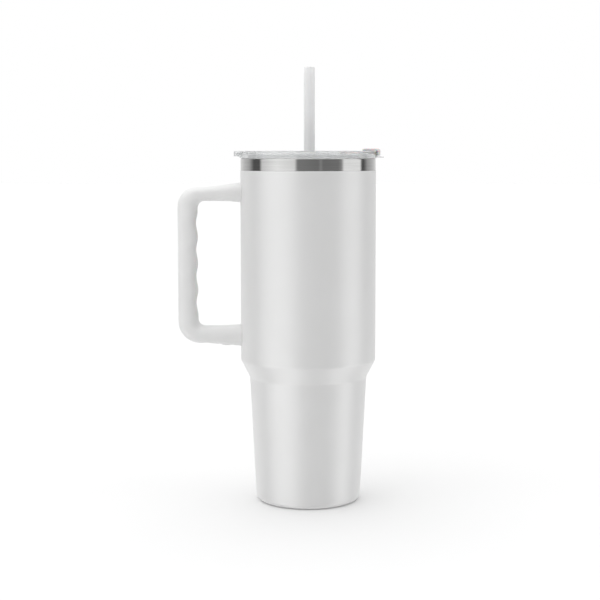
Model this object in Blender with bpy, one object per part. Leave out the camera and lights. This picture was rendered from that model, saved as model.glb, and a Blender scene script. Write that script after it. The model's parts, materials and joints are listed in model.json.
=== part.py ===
"""Insulated travel tumbler: a stepped double-walled steel cup with a side handle, a clear press-in lid with a
flip-up sip flap, and a straight straw.

The frame: +Z up, the origin at the centre of the base, the handle at -X and the sip flap at +X. Sizes are in
metres, written as millimetres times MM. Pieces that touch on the real tumbler are modelled GAP apart.
"""

import math

import bmesh
import bpy
from mathutils import Matrix, Vector

MM = 0.001

# Clearances, and how finely round shapes are divided
GAP = 0.3 * MM  # between pieces that touch or slide on each other
OVERLAP = 1.0 * MM  # how far joined shapes and cutters run past the face they meet
SEGMENTS = 48  # around a turned piece
SMALL_SEGMENTS = 16  # around a pin, a screw or a small hole
ARC_STEP = math.radians(30)  # along a rounded corner
SHARP_ANGLE = math.radians(35)  # faces that meet at less are shaded as one
CORNER_SHARE = 0.49  # a rounding takes at most this share of a side
MITRE_LIMIT = 0.3  # of the cosine of half the turn at a corner
TINY = 1e-6 * MM
MERGE_DISTANCE = 1e-3 * MM

# Cup body: the painted outside
BODY_RADIUS = 49.5 * MM
RIM_HEIGHT = 251.8 * MM  # top of the steel mouth
BAND_HEIGHT = 8.7 * MM  # bare steel below the rim
COAT_STEP = 0.2 * MM  # the bare band lies this far inside the painted wall
SHOULDER_HEIGHT = 104.2 * MM  # where the wall starts to step in
SHOULDER_DROP = 12.8 * MM
SHOULDER_STEP = 6.55 * MM
SHOULDER_ROUND = 6.0 * MM
BASE_RADIUS = 38.1 * MM  # small enough for a car's cup holder
BASE_ROUND = 3.6 * MM
SHELL_WALL = 0.5 * MM
LINER_WALL = 0.4 * MM
VACUUM_SPACE = 3.6 * MM
LIP_ROUND = 0.9 * MM
LINER_FLOOR_HEIGHT = 9.2 * MM
LINER_FLOOR_ROUND = 6.0 * MM

# Cup body: the base
PAD_DROP = 0.4 * MM  # the pad stands this far below the steel foot
FOOT_WIDTH = 3.6 * MM  # flat ring of the steel foot
SEAM_RISE = 5.8 * MM  # from the foot to the weld between base cup and shell
RECESS_RISE = 2.4 * MM
DIMPLE_RADIUS = 5.0 * MM
DIMPLE_RISE = 1.6 * MM
PORT_RADIUS = 1.0 * MM  # the hole that the air was drawn out through
BEAD_RADIUS = 2.8 * MM
BEAD_THICKNESS = 1.0 * MM
BEAD_ROUND = 0.45 * MM
GETTER_RADIUS = 4.0 * MM
GETTER_THICKNESS = 1.6 * MM
GETTER_OFFSET = 18.0 * MM  # from the cup's axis
CLIP_WIDTH = 4.0 * MM
CLIP_WALL = 0.4 * MM
CLIP_FOOT = 2.5 * MM

# Handle
HANDLE_REACH = 46.0 * MM  # from the cup's wall to the handle's outer face
HANDLE_DROP = 20.0 * MM  # from the rim to the top of the upper arm
HANDLE_CLEARANCE = 11.5 * MM  # from the shoulder to the underside of the lower arm
HANDLE_WIDTH = 23.0 * MM
UPPER_ARM = 10.3 * MM  # height of the upper arm at the corner
LOWER_ARM = 12.4 * MM
BAR_DEPTH = 14.5 * MM
UPPER_FLARE = 4.1 * MM  # how much each arm grows on its outer side towards the cup
LOWER_FLARE = 2.8 * MM
INNER_FLARE = 1.7 * MM  # the same on the inner side
FLARE_POWER = 1.15  # 1 gives a straight taper, larger numbers a curve that steepens at the cup
INNER_FLARE_POWER = 3
ARM_STATIONS = 5
UPPER_OUTER_ROUND = 14.0 * MM
LOWER_OUTER_ROUND = 16.0 * MM
INNER_ROUND = 5.0 * MM
SECTION_POWER = 2.6  # 2 gives an oval section, larger numbers a squarer one
SECTION_POINTS = 24
ROOT_INSET = 6.0 * MM  # how far the arms run into the cup before they are cut to its curve
GRIP_WIDTH = 16.4 * MM
GRIP_DEPTH = 3.2 * MM
GRIP_MARGIN = 7.5 * MM  # from the arms to the grip's ends
GROOVE_COUNT = 4
GROOVE_DEPTH = 1.3 * MM
STATIONS_PER_GROOVE = 6

# Fixing of the handle: a bracket welded to the shell, a weld nut, a screw from below and its plug
BRACKET_WALL = 1.5 * MM
BRACKET_WIDTH = 13.0 * MM
BRACKET_LENGTH = 16.0 * MM  # of the tongue, out from the cup's wall
BRACKET_FOOT_WIDTH = 17.0 * MM
BRACKET_FOOT_HEIGHT = 8.0 * MM
SCREW_REACH = 10.0 * MM  # from the cup's wall to the screw
SCREW_RADIUS = 2.0 * MM
SCREW_HEAD_RADIUS = 3.6 * MM
SCREW_HEAD_HEIGHT = 2.0 * MM
HEX_SOCKET_RADIUS = 1.5 * MM
HEX_SOCKET_DEPTH = 1.2 * MM
NUT_RADIUS = 4.0 * MM  # over the corners
NUT_THICKNESS = 2.5 * MM
SEAT_WALL = 1.4 * MM  # of the handle, between the screw head and the bracket
SCREW_PLUG_RADIUS = 4.3 * MM
SCREW_PLUG_THICKNESS = 1.2 * MM
SCREW_PLUG_SINK = 0.3 * MM  # the plug lies this far inside the arm's underside

# Lid, in heights from the rim
LID_RISE = 5.1 * MM
LID_OVERHANG = 0.4 * MM  # of the flange, past the painted wall
FLANGE_WEB = 1.8 * MM
FLANGE_SKIRT = 1.7 * MM
FLANGE_ROUND = 0.7 * MM
PLUG_CLEARANCE = 1.4 * MM  # from the plug to the liner
PLUG_WALL = 1.8 * MM
PLUG_DEPTH = 10.3 * MM
DECK_DROP = 5.6 * MM  # from the lid's top to its deck
DECK_THICKNESS = 1.8 * MM
GASKET_HEIGHT = 3.6 * MM
GASKET_DEPTH = 1.2 * MM  # of its groove
GASKET_LIFT = 2.5 * MM  # from the plug's end to the groove
GASKET_LIP = 0.7 * MM
GASKET_EDGE = 0.35 * MM  # thickness of each lip at its tip
VENT_RADIUS = 1.2 * MM
VENT_OFFSET = 24.0 * MM

# Lift tab over the handle, and the thin lip under the flap
TAB_REACH = 4.0 * MM
TAB_WIDTH = 16.0 * MM
TAB_DROP = 3.8 * MM
TAB_WALL = 1.4 * MM
LIP_REACH = 5.0 * MM
LIP_WIDTH = 12.0 * MM
LIP_THICKNESS = 1.0 * MM
LIP_TIP = 0.5 * MM
LIP_LIFT = 0.5 * MM  # from the rim to the lip

# Straw and its grommet
STRAW_RADIUS = 4.0 * MM
STRAW_WALL = 0.7 * MM
STRAW_RISE = 65.8 * MM  # above the rim
STRAW_OFFSET = 0.9 * MM  # of the straw and its hole from the lid's axis, towards the flap
GROMMET_WALL = 1.4 * MM
GROMMET_FLANGE = 1.7 * MM
GROMMET_FLANGE_THICKNESS = 1.1 * MM
BOSS_WALL = 2.5 * MM
BOSS_RISE = 3.0 * MM  # above the deck

# Sip opening, flap and hinge
SIP_LENGTH = 8.5 * MM  # along X
SIP_WIDTH = 13.0 * MM  # along Y
SIP_ROUND = 3.0 * MM
SIP_MARGIN = 1.8 * MM  # from the opening to the end of the flap's arm
SIP_RIM = 1.4 * MM
SIP_RIM_RISE = 1.2 * MM
FLAP_WIDTH = 16.4 * MM
FLAP_ARM = 2.5 * MM
FLAP_SINK = 0.3 * MM  # the arm's top lies this far under the lid's top
THUMB_RISE = 1.9 * MM  # the thumb tab stands this far above the lid's top
THUMB_OVERHANG = 2.4 * MM  # past the flange
THUMB_ROUND = 1.6 * MM
THUMB_RAMP = 0.3 * MM
FLAP_WEB = 0.9 * MM  # wall of the step between the arm and the thumb tab
BARREL_RADIUS = 2.2 * MM
HINGE_DROP = 2.6 * MM  # of the hinge axis, under the lid's top
HINGE_CLEARANCE = 1.5 * MM  # from the rim of the sip opening to the barrel
PIN_RADIUS = 1.0 * MM
EAR_WALL = 2.2 * MM
EAR_RADIUS = 2.4 * MM
EAR_ROUND = 2.1 * MM  # of its top corners
SEAL_THICKNESS = 1.8 * MM
SEAL_POCKET = 1.0 * MM

# Sizes that follow from those above
foot_z = PAD_DROP
seam_z = foot_z + SEAM_RISE
recess_z = foot_z + RECESS_RISE
band_radius = BODY_RADIUS - COAT_STEP
band_bottom = RIM_HEIGHT - BAND_HEIGHT
waist_radius = BODY_RADIUS - SHOULDER_STEP
waist_z = SHOULDER_HEIGHT - SHOULDER_DROP
liner_inset = SHELL_WALL + VACUUM_SPACE + LINER_WALL
mouth_radius = BODY_RADIUS - liner_inset
recess_radius = BASE_RADIUS - BASE_ROUND - FOOT_WIDTH

flange_radius = BODY_RADIUS + LID_OVERHANG
plug_radius = mouth_radius - PLUG_CLEARANCE
well_radius = plug_radius - PLUG_WALL
deck_top = LID_RISE - DECK_DROP
deck_bottom = deck_top - DECK_THICKNESS

grommet_bore = STRAW_RADIUS + GAP
grommet_neck = grommet_bore + GROMMET_WALL
straw_hole = grommet_neck + GAP
boss_radius = straw_hole + BOSS_WALL

arm_end = math.sqrt(well_radius**2 - (FLAP_WIDTH / 2) ** 2) - GAP
sip_x = arm_end - SIP_MARGIN - SIP_LENGTH / 2
hinge_x = sip_x - SIP_LENGTH / 2 - SIP_RIM - HINGE_CLEARANCE - BARREL_RADIUS
hinge_z = LID_RISE - HINGE_DROP
lip_top = LIP_LIFT + LIP_THICKNESS

handle_top = RIM_HEIGHT - HANDLE_DROP
handle_bottom = SHOULDER_HEIGHT + HANDLE_CLEARANCE
handle_x = -(BODY_RADIUS + HANDLE_REACH)
bar_x = handle_x + BAR_DEPTH
upper_inner = handle_top - UPPER_ARM
lower_inner = handle_bottom + LOWER_ARM
grip_low = lower_inner + GRIP_MARGIN
grip_high = upper_inner - GRIP_MARGIN
screw_x = -(BODY_RADIUS + SCREW_REACH)


# Materials: name, colour, roughness, metallic, opacity
MATERIALS = {
    "powder_coat": ((0.80, 0.80, 0.80), 0.55, 0.0, 1.0),
    "brushed_steel": ((0.62, 0.62, 0.62), 0.28, 1.0, 1.0),
    "getter_metal": ((0.35, 0.34, 0.33), 0.6, 1.0, 1.0),
    "sealing_glass": ((0.30, 0.36, 0.42), 0.2, 0.0, 1.0),
    "handle_plastic": ((0.80, 0.80, 0.80), 0.5, 0.0, 1.0),
    "grip_rubber": ((0.78, 0.78, 0.78), 0.7, 0.0, 1.0),
    "clear_plastic": ((0.92, 0.94, 0.95), 0.08, 0.0, 0.35),
    "flap_plastic": ((0.82, 0.82, 0.82), 0.35, 0.0, 1.0),
    "silicone": ((0.85, 0.85, 0.85), 0.5, 0.0, 1.0),
    "straw_plastic": ((0.80, 0.80, 0.80), 0.4, 0.0, 1.0),
    "pad_rubber": ((0.45, 0.45, 0.45), 0.8, 0.0, 1.0),
}


def clear_scene():
    for obj in list(bpy.data.objects):
        bpy.data.objects.remove(obj, do_unlink=True)


def make_materials():
    made = {}
    for name, (colour, roughness, metallic, opacity) in MATERIALS.items():
        material = bpy.data.materials.new(name)
        material.use_nodes = True
        shader = material.node_tree.nodes["Principled BSDF"]
        shader.inputs["Base Color"].default_value = (*colour, 1.0)
        shader.inputs["Roughness"].default_value = roughness
        shader.inputs["Metallic"].default_value = metallic
        shader.inputs["Alpha"].default_value = opacity
        made[name] = material
    return made


# Outlines and paths ------------------------------------------------------------------------------------------


def rounded(corners, closed=False):
    """The points of a path through corners (a, b, radius), with an arc of that radius at each inner corner."""
    points = []
    count = len(corners)
    for i, (a, b, radius) in enumerate(corners):
        here = Vector((a, b))
        if radius <= 0 or (not closed and i in (0, count - 1)):
            points.append(here)
            continue
        before = Vector(corners[i - 1][:2]) - here
        after = Vector(corners[(i + 1) % count][:2]) - here
        turn = math.pi - before.angle(after)
        cut = min(radius * math.tan(turn / 2), CORNER_SHARE * before.length, CORNER_SHARE * after.length)
        if cut < TINY:
            points.append(here)
            continue
        fitted = cut / math.tan(turn / 2)
        start = here + before.normalized() * cut
        middle = (before.normalized() + after.normalized()).normalized()
        centre = here + middle * math.hypot(cut, fitted)
        steps = max(1, math.ceil(turn / ARC_STEP))
        spoke = start - centre
        sign = 1 if before.cross(after) < 0 else -1
        for step in range(steps + 1):
            points.append(centre + Matrix.Rotation(sign * turn * step / steps, 2) @ spoke)
    return points


def offset(path, distance):
    """The path moved sideways by distance, to its left for a positive number, with mitred corners."""
    moved = []
    for i, here in enumerate(path):
        before = (here - path[i - 1]).normalized() if i > 0 else None
        after = (path[i + 1] - here).normalized() if i < len(path) - 1 else None
        before = before or after
        after = after or before
        along = (before + after).normalized()
        side = Vector((-along.y, along.x))
        moved.append(here + side * distance / max(MITRE_LIMIT, along.dot(before)))
    return moved


def sheet_outline(path, wall):
    """The closed outline of sheet metal of this wall, on the left of the path. An end on the axis stays there."""
    other = offset(path, wall)
    for i in (0, -1):
        if path[i].x < TINY:
            other[i].x = 0
    return path + other[::-1]


def slot(centre_x, length, width, radius):
    """A rectangle with rounded corners in the plane of the deck, centred on Y = 0."""
    x0, x1 = centre_x - length / 2, centre_x + length / 2
    y0, y1 = -width / 2, width / 2
    return rounded([(x0, y0, radius), (x1, y0, radius), (x1, y1, radius), (x0, y1, radius)], closed=True)


# Solids ------------------------------------------------------------------------------------------------------


def new_object(name, bm, material=None, parent=None, location=(0, 0, 0)):
    """An object from bm. One with no material is a helper for a Boolean, and isn't part of the tumbler."""
    bmesh.ops.recalc_face_normals(bm, faces=bm.faces)
    mesh = bpy.data.meshes.new(name)
    bm.to_mesh(mesh)
    bm.free()
    mesh.shade_smooth()
    mesh.set_sharp_from_angle(angle=SHARP_ANGLE)
    obj = bpy.data.objects.new(name, mesh)
    bpy.context.scene.collection.objects.link(obj)
    obj.parent = parent
    obj.location = location
    if material is None:
        obj.hide_render = True
        obj.display_type = "WIRE"
    else:
        mesh.materials.append(material)
    return obj


def turned(name, outline, segments=SEGMENTS, **kwargs):
    """A closed outline of (radius, z) points turned about Z."""
    bm = bmesh.new()
    verts = [bm.verts.new((p.x, 0, p.y)) for p in outline]
    edges = []
    for i, vert in enumerate(verts):
        if vert.co.x > TINY or verts[i - 1].co.x > TINY:
            edges.append(bm.edges.new((verts[i - 1], vert)))
    bmesh.ops.spin(
        bm,
        geom=verts + edges,
        cent=(0, 0, 0),
        axis=(0, 0, 1),
        angle=2 * math.pi,
        steps=segments,
        use_merge=True,
    )
    bmesh.ops.remove_doubles(bm, verts=bm.verts, dist=MERGE_DISTANCE)
    return new_object(name, bm, **kwargs)


def ring(name, inner, outer, low, high, **kwargs):
    """A plain ring, or a disc where inner is 0."""
    corners = [(inner, low), (outer, low), (outer, high), (inner, high)]
    return turned(name, [Vector(c) for c in corners], **kwargs)


def prism(name, outline, low, high, plane="XY", **kwargs):
    """A closed outline extruded along the axis square to its plane, from low to high."""
    place = {"XY": lambda a, b, c: (a, b, c), "XZ": lambda a, b, c: (a, c, b)}[plane]
    bm = bmesh.new()
    face = bm.faces.new([bm.verts.new(place(p[0], p[1], low)) for p in outline])
    grown = bmesh.ops.extrude_face_region(bm, geom=[face])
    top = [item for item in grown["geom"] if isinstance(item, bmesh.types.BMVert)]
    bmesh.ops.translate(bm, verts=top, vec=place(0, 0, high - low))
    return new_object(name, bm, **kwargs)


def block(name, low, high, **kwargs):
    outline = [(low[0], low[1]), (high[0], low[1]), (high[0], high[1]), (low[0], high[1])]
    return prism(name, outline, low[2], high[2], **kwargs)


def rod(name, radius, start, end, sides=SMALL_SEGMENTS, **kwargs):
    """A cylinder between two points."""
    start, end = Vector(start), Vector(end)
    bm = bmesh.new()
    bmesh.ops.create_cone(
        bm, cap_ends=True, segments=sides, radius1=radius, radius2=radius, depth=(end - start).length
    )
    turn = (end - start).to_track_quat("Z", "Y").to_matrix().to_4x4()
    bmesh.ops.transform(bm, matrix=Matrix.Translation((start + end) / 2) @ turn, verts=bm.verts)
    return new_object(name, bm, **kwargs)


def loft(name, sections, **kwargs):
    """A solid through rings of points, closed with a face at each end."""
    bm = bmesh.new()
    rings = [[bm.verts.new(p) for p in section] for section in sections]
    for one, two in zip(rings, rings[1:]):
        for i in range(len(one)):
            bm.faces.new((one[i - 1], one[i], two[i], two[i - 1]))
    bm.faces.new(rings[0])
    bm.faces.new(rings[-1])
    return new_object(name, bm, **kwargs)


def combine(target, operation, *helpers):
    for helper in helpers:
        modifier = target.modifiers.new(f"{operation.lower()} {helper.name}", "BOOLEAN")
        modifier.operation = operation
        modifier.object = helper
        modifier.solver = "EXACT"


def cut(target, *helpers):
    combine(target, "DIFFERENCE", *helpers)


def join(target, *helpers):
    combine(target, "UNION", *helpers)


def frame_at(name, location, parent=None):
    """An empty that a group of pieces is placed on."""
    empty = bpy.data.objects.new(name, None)
    bpy.context.scene.collection.objects.link(empty)
    empty.location = location
    empty.parent = parent
    return empty


# Cup body ----------------------------------------------------------------------------------------------------


def outside_corners():
    """The painted outside from the bare band down to the foot, as (radius, z, rounding)."""
    return [
        (BODY_RADIUS, band_bottom - GAP, 0),
        (BODY_RADIUS, SHOULDER_HEIGHT, SHOULDER_ROUND),
        (waist_radius, waist_z, SHOULDER_ROUND),
        (BASE_RADIUS, foot_z, BASE_ROUND),
    ]


def radius_at_seam():
    share = (seam_z - foot_z) / (waist_z - foot_z)
    return BASE_RADIUS + (waist_radius - BASE_RADIUS) * share


def make_shell(materials):
    """The painted outer wall, down to its weld with the base cup."""
    corners = outside_corners()[:-1] + [(radius_at_seam(), seam_z + GAP, 0)]
    path = rounded(corners)
    turned("outer_shell", sheet_outline(path, -SHELL_WALL), material=materials["powder_coat"])


def make_liner(materials):
    """The inner cup. Its mouth is rolled over into the bare band, which the shell is welded to."""
    wall_path = offset([Vector(c[:2]) for c in outside_corners()], -liner_inset)
    wall, waist, foot = wall_path[0].x, wall_path[2], wall_path[3]
    slope = (waist.x - foot.x) / (waist.y - foot.y)
    floor_radius = waist.x - slope * (waist.y - LINER_FLOOR_HEIGHT)
    path = rounded(
        [
            (band_radius, band_bottom, 0),
            (band_radius, RIM_HEIGHT, LIP_ROUND),
            (wall, RIM_HEIGHT, LIP_ROUND),
            (wall, wall_path[1].y, SHOULDER_ROUND),
            (waist.x, waist.y, SHOULDER_ROUND),
            (floor_radius, LINER_FLOOR_HEIGHT, LINER_FLOOR_ROUND),
            (0, LINER_FLOOR_HEIGHT, 0),
        ]
    )
    turned("inner_liner", sheet_outline(path, LINER_WALL), material=materials["brushed_steel"])


def make_base(materials):
    """The pressed cup that closes the vacuum, the glass bead in its port, the getter and the rubber pad."""
    path = rounded(
        [
            (radius_at_seam(), seam_z, 0),
            (BASE_RADIUS, foot_z, BASE_ROUND),
            (recess_radius, foot_z, 0),
            (recess_radius, recess_z, 0),
            (DIMPLE_RADIUS, recess_z, 0),
            (DIMPLE_RADIUS, recess_z + DIMPLE_RISE, 0),
            (PORT_RADIUS, recess_z + DIMPLE_RISE, 0),
        ]
    )
    turned("base_cup", sheet_outline(path, -SHELL_WALL), material=materials["powder_coat"])

    bead_top = recess_z + DIMPLE_RISE - GAP
    bead = rounded(
        [
            (0, bead_top - BEAD_THICKNESS, 0),
            (BEAD_RADIUS, bead_top - BEAD_THICKNESS, BEAD_ROUND),
            (BEAD_RADIUS, bead_top, BEAD_ROUND),
            (0, bead_top, 0),
        ]
    )
    turned("vacuum_bead", bead, segments=SMALL_SEGMENTS, material=materials["sealing_glass"])

    pad_radius = recess_radius - GAP
    pad = rounded(
        [
            (0, 0, 0),
            (pad_radius, 0, PAD_DROP / 2),
            (pad_radius, recess_z - GAP, 0),
            (0, recess_z - GAP, 0),
        ]
    )
    turned("base_pad", pad, material=materials["pad_rubber"])

    getter_low = recess_z + SHELL_WALL + GAP
    getter_high = getter_low + GETTER_THICKNESS
    rod(
        "getter",
        GETTER_RADIUS,
        (GETTER_OFFSET, 0, getter_low),
        (GETTER_OFFSET, 0, getter_high),
        material=materials["getter_metal"],
    )
    inner = GETTER_RADIUS + GAP
    outer = inner + CLIP_WALL
    half = [
        (outer + CLIP_FOOT, getter_low),
        (outer + CLIP_FOOT, getter_low + CLIP_WALL),
        (outer, getter_low + CLIP_WALL),
        (outer, getter_high + GAP + CLIP_WALL),
    ]
    under = [(inner, getter_high + GAP), (inner, getter_low)]
    right = half + [(-a, b) for a, b in reversed(half)]
    left = [(-a, b) for a, b in reversed(under)] + under
    strap = [(GETTER_OFFSET + a, b) for a, b in right + left]
    prism(
        "getter_clip",
        strap,
        -CLIP_WIDTH / 2,
        CLIP_WIDTH / 2,
        plane="XZ",
        material=materials["getter_metal"],
    )


# Handle ------------------------------------------------------------------------------------------------------


def arm_stations(level, inner_level, flare, up):
    """Outer and inner points along one arm, from inside the cup out to the bar's corner."""
    root = -(BODY_RADIUS - ROOT_INSET)
    tip = bar_x + INNER_ROUND
    stations = []
    for i in range(ARM_STATIONS):
        share = 1 - i / ARM_STATIONS
        x = tip + (root - tip) * share
        outer = (x, level + up * flare * share**FLARE_POWER)
        inner = (x, inner_level - up * INNER_FLARE * share**INNER_FLARE_POWER)
        stations.append((outer, inner))
    return stations


def corner_stations(outer_z, outer_round, inner_z, up):
    """Outer and inner points round one corner, from the arm to the bar."""
    steps = math.ceil(math.pi / 2 / ARC_STEP)
    stations = []
    for step in range(steps + 1):
        angle = math.pi / 2 * (1 + step / steps)
        across, along = math.cos(angle), up * math.sin(angle)
        outer = (
            handle_x + outer_round * (1 + across),
            outer_z + outer_round * (along - up),
        )
        inner = (
            bar_x + INNER_ROUND * (1 + across),
            inner_z + INNER_ROUND * (along - up),
        )
        stations.append((outer, inner))
    return stations


def bar_stations():
    """Points down the upright bar, with finger grooves on its inner side."""
    count = GROOVE_COUNT * STATIONS_PER_GROOVE
    stations = []
    for i in range(count + 1):
        z = grip_high + (grip_low - grip_high) * i / count
        dip = GROOVE_DEPTH * (1 - math.cos(2 * math.pi * i / STATIONS_PER_GROOVE)) / 2
        stations.append(((handle_x, z), (bar_x - dip, z)))
    return stations


def section_between(outer, inner):
    """A rounded section between an outer and an inner point of the handle's side view."""
    outer = Vector((outer[0], 0, outer[1]))
    inner = Vector((inner[0], 0, inner[1]))
    middle = (outer + inner) / 2
    deep = (outer - inner) / 2
    points = []
    for i in range(SECTION_POINTS):
        angle = 2 * math.pi * i / SECTION_POINTS
        a, b = math.cos(angle), math.sin(angle)
        a = math.copysign(abs(a) ** (2 / SECTION_POWER), a)
        b = math.copysign(abs(b) ** (2 / SECTION_POWER), b)
        points.append(middle + deep * a + Vector((0, HANDLE_WIDTH / 2 * b, 0)))
    return points


def handle_form(name, **kwargs):
    """The whole handle as one bent bar with finger grooves, its arms still running into the cup."""
    upper = arm_stations(handle_top, upper_inner, UPPER_FLARE, 1)
    upper += corner_stations(handle_top, UPPER_OUTER_ROUND, upper_inner, 1)
    lower = arm_stations(handle_bottom, lower_inner, LOWER_FLARE, -1)
    lower += corner_stations(handle_bottom, LOWER_OUTER_ROUND, lower_inner, -1)
    stations = upper + bar_stations() + lower[::-1]
    sections = [section_between(outer, inner) for outer, inner in stations]
    return loft(name, sections, **kwargs)


def grip_block(name, clearance):
    half = GRIP_WIDTH / 2 + clearance
    low = (bar_x - GRIP_DEPTH - clearance, -half, grip_low - clearance)
    high = (bar_x + GRIP_DEPTH, half, grip_high + clearance)
    return block(name, low, high)


def underside_at_screw(level, inner_level, up):
    """Height of an arm's lower surface where its screw goes in."""
    root = -(BODY_RADIUS - ROOT_INSET)
    tip = bar_x + INNER_ROUND
    share = (screw_x - tip) / (root - tip)
    if up > 0:
        return inner_level - INNER_FLARE * share**INNER_FLARE_POWER
    return level - LOWER_FLARE * share**FLARE_POWER


def make_fixing(which, underside, handle, materials):
    """The bracket, nut, screw and plug of one arm, and the handle's pockets for them."""
    plug_low = underside + SCREW_PLUG_SINK
    head_low = plug_low + SCREW_PLUG_THICKNESS + GAP
    head_high = head_low + SCREW_HEAD_HEIGHT
    seat_low = head_high + GAP
    pocket_low = seat_low + SEAT_WALL
    tongue_low = pocket_low + GAP
    tongue_high = tongue_low + BRACKET_WALL
    nut_low = tongue_high + GAP
    nut_high = nut_low + NUT_THICKNESS
    screw_high = nut_high + GAP
    pocket_high = screw_high + GAP
    steel = materials["brushed_steel"]
    wall = BODY_RADIUS + GAP

    foot_outer = wall + BRACKET_WALL
    foot_low = (tongue_low + tongue_high - BRACKET_FOOT_HEIGHT) / 2
    foot_high = foot_low + BRACKET_FOOT_HEIGHT
    bracket = block(
        f"{which}_bracket",
        (-foot_outer - OVERLAP, -BRACKET_FOOT_WIDTH / 2, foot_low),
        (-wall + 2 * OVERLAP, BRACKET_FOOT_WIDTH / 2, foot_high),
        material=steel,
    )
    span = (foot_low - OVERLAP, foot_high + OVERLAP)
    combine(bracket, "INTERSECT", ring(f"{which}_foot_outside", 0, foot_outer, *span))
    cut(bracket, ring(f"{which}_foot_inside", 0, wall, span[0] - OVERLAP, span[1] + OVERLAP))
    tongue = block(
        f"{which}_tongue",
        (-BODY_RADIUS - BRACKET_LENGTH, -BRACKET_WIDTH / 2, tongue_low),
        (-foot_outer + BRACKET_WALL / 2, BRACKET_WIDTH / 2, tongue_high),
    )
    join(bracket, tongue)
    hole = rod(
        f"{which}_bracket_hole",
        SCREW_RADIUS + GAP,
        (screw_x, 0, tongue_low - OVERLAP),
        (screw_x, 0, tongue_high + OVERLAP),
    )
    cut(bracket, hole)

    nut = rod(
        f"{which}_weld_nut",
        NUT_RADIUS,
        (screw_x, 0, nut_low),
        (screw_x, 0, nut_high),
        sides=6,
        material=steel,
    )
    nut_hole = rod(
        f"{which}_nut_hole",
        SCREW_RADIUS + GAP,
        (screw_x, 0, nut_low - OVERLAP),
        (screw_x, 0, nut_high + OVERLAP),
    )
    cut(nut, nut_hole)

    screw = rod(
        f"{which}_screw",
        SCREW_HEAD_RADIUS,
        (screw_x, 0, head_low),
        (screw_x, 0, head_high),
        material=steel,
    )
    shank = rod(f"{which}_shank", SCREW_RADIUS, (screw_x, 0, head_low + OVERLAP), (screw_x, 0, screw_high))
    socket = rod(
        f"{which}_socket",
        HEX_SOCKET_RADIUS,
        (screw_x, 0, head_low - OVERLAP),
        (screw_x, 0, head_low + HEX_SOCKET_DEPTH),
        sides=6,
    )
    join(screw, shank)
    cut(screw, socket)

    rod(
        f"{which}_screw_plug",
        SCREW_PLUG_RADIUS,
        (screw_x, 0, plug_low),
        (screw_x, 0, plug_low + SCREW_PLUG_THICKNESS),
        material=materials["handle_plastic"],
    )

    tongue_half = BRACKET_WIDTH / 2 + GAP
    tongue_pocket = block(
        f"{which}_tongue_pocket",
        (-BODY_RADIUS - BRACKET_LENGTH - GAP, -tongue_half, pocket_low),
        (-wall + OVERLAP, tongue_half, tongue_high + GAP),
    )
    nut_half = NUT_RADIUS + GAP
    nut_channel = block(
        f"{which}_nut_channel",
        (screw_x - nut_half, -nut_half, tongue_high),
        (-wall + OVERLAP, nut_half, pocket_high),
    )
    foot_pocket = block(
        f"{which}_foot_pocket",
        (-foot_outer - GAP, -BRACKET_FOOT_WIDTH / 2 - GAP, foot_low - GAP),
        (-BODY_RADIUS + BRACKET_FOOT_WIDTH / 2, BRACKET_FOOT_WIDTH / 2 + GAP, foot_high + GAP),
    )
    counterbore = rod(
        f"{which}_counterbore",
        SCREW_PLUG_RADIUS + GAP,
        (screw_x, 0, underside - 2 * OVERLAP),
        (screw_x, 0, seat_low),
        sides=SEGMENTS // 2,
    )
    clearance_hole = rod(
        f"{which}_clearance_hole",
        SCREW_RADIUS + GAP,
        (screw_x, 0, seat_low - OVERLAP),
        (screw_x, 0, pocket_low + OVERLAP),
    )
    cut(handle, tongue_pocket, nut_channel, foot_pocket, counterbore, clearance_hole)


def make_handle(materials):
    handle = handle_form("handle_core", material=materials["handle_plastic"])
    body_curve = ring("handle_body_curve", 0, BODY_RADIUS + GAP, SHOULDER_HEIGHT - OVERLAP, RIM_HEIGHT)
    cut(handle, body_curve, grip_block("grip_recess", GAP))
    grip = handle_form("grip_insert", material=materials["grip_rubber"])
    combine(grip, "INTERSECT", grip_block("grip_bounds", 0))
    upper = underside_at_screw(handle_top, upper_inner, 1)
    lower = underside_at_screw(handle_bottom, lower_inner, -1)
    for which, underside in (("upper", upper), ("lower", lower)):
        make_fixing(which, underside, handle, materials)


# Lid ---------------------------------------------------------------------------------------------------------


def lid_outline():
    """Half section of the clear lid: flange with its skirt, plug with its gasket groove, and the deck."""
    skirt_inner = flange_radius - FLANGE_SKIRT
    groove_low = -PLUG_DEPTH + GASKET_LIFT
    groove_high = groove_low + GASKET_HEIGHT
    groove_radius = plug_radius - GASKET_DEPTH
    return rounded(
        [
            (0, deck_bottom, 0),
            (well_radius, deck_bottom, FLANGE_ROUND),
            (well_radius, -PLUG_DEPTH, 0),
            (plug_radius, -PLUG_DEPTH, FLANGE_ROUND),
            (plug_radius, groove_low, 0),
            (groove_radius, groove_low, 0),
            (groove_radius, groove_high, 0),
            (plug_radius, groove_high, 0),
            (plug_radius, LID_RISE - FLANGE_WEB, FLANGE_ROUND),
            (skirt_inner, LID_RISE - FLANGE_WEB, FLANGE_ROUND),
            (skirt_inner, GAP, 0),
            (flange_radius, GAP, 0),
            (flange_radius, LID_RISE, FLANGE_ROUND),
            (well_radius, LID_RISE, FLANGE_ROUND),
            (well_radius, deck_top, FLANGE_ROUND),
            (0, deck_top, 0),
        ]
    )


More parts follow.
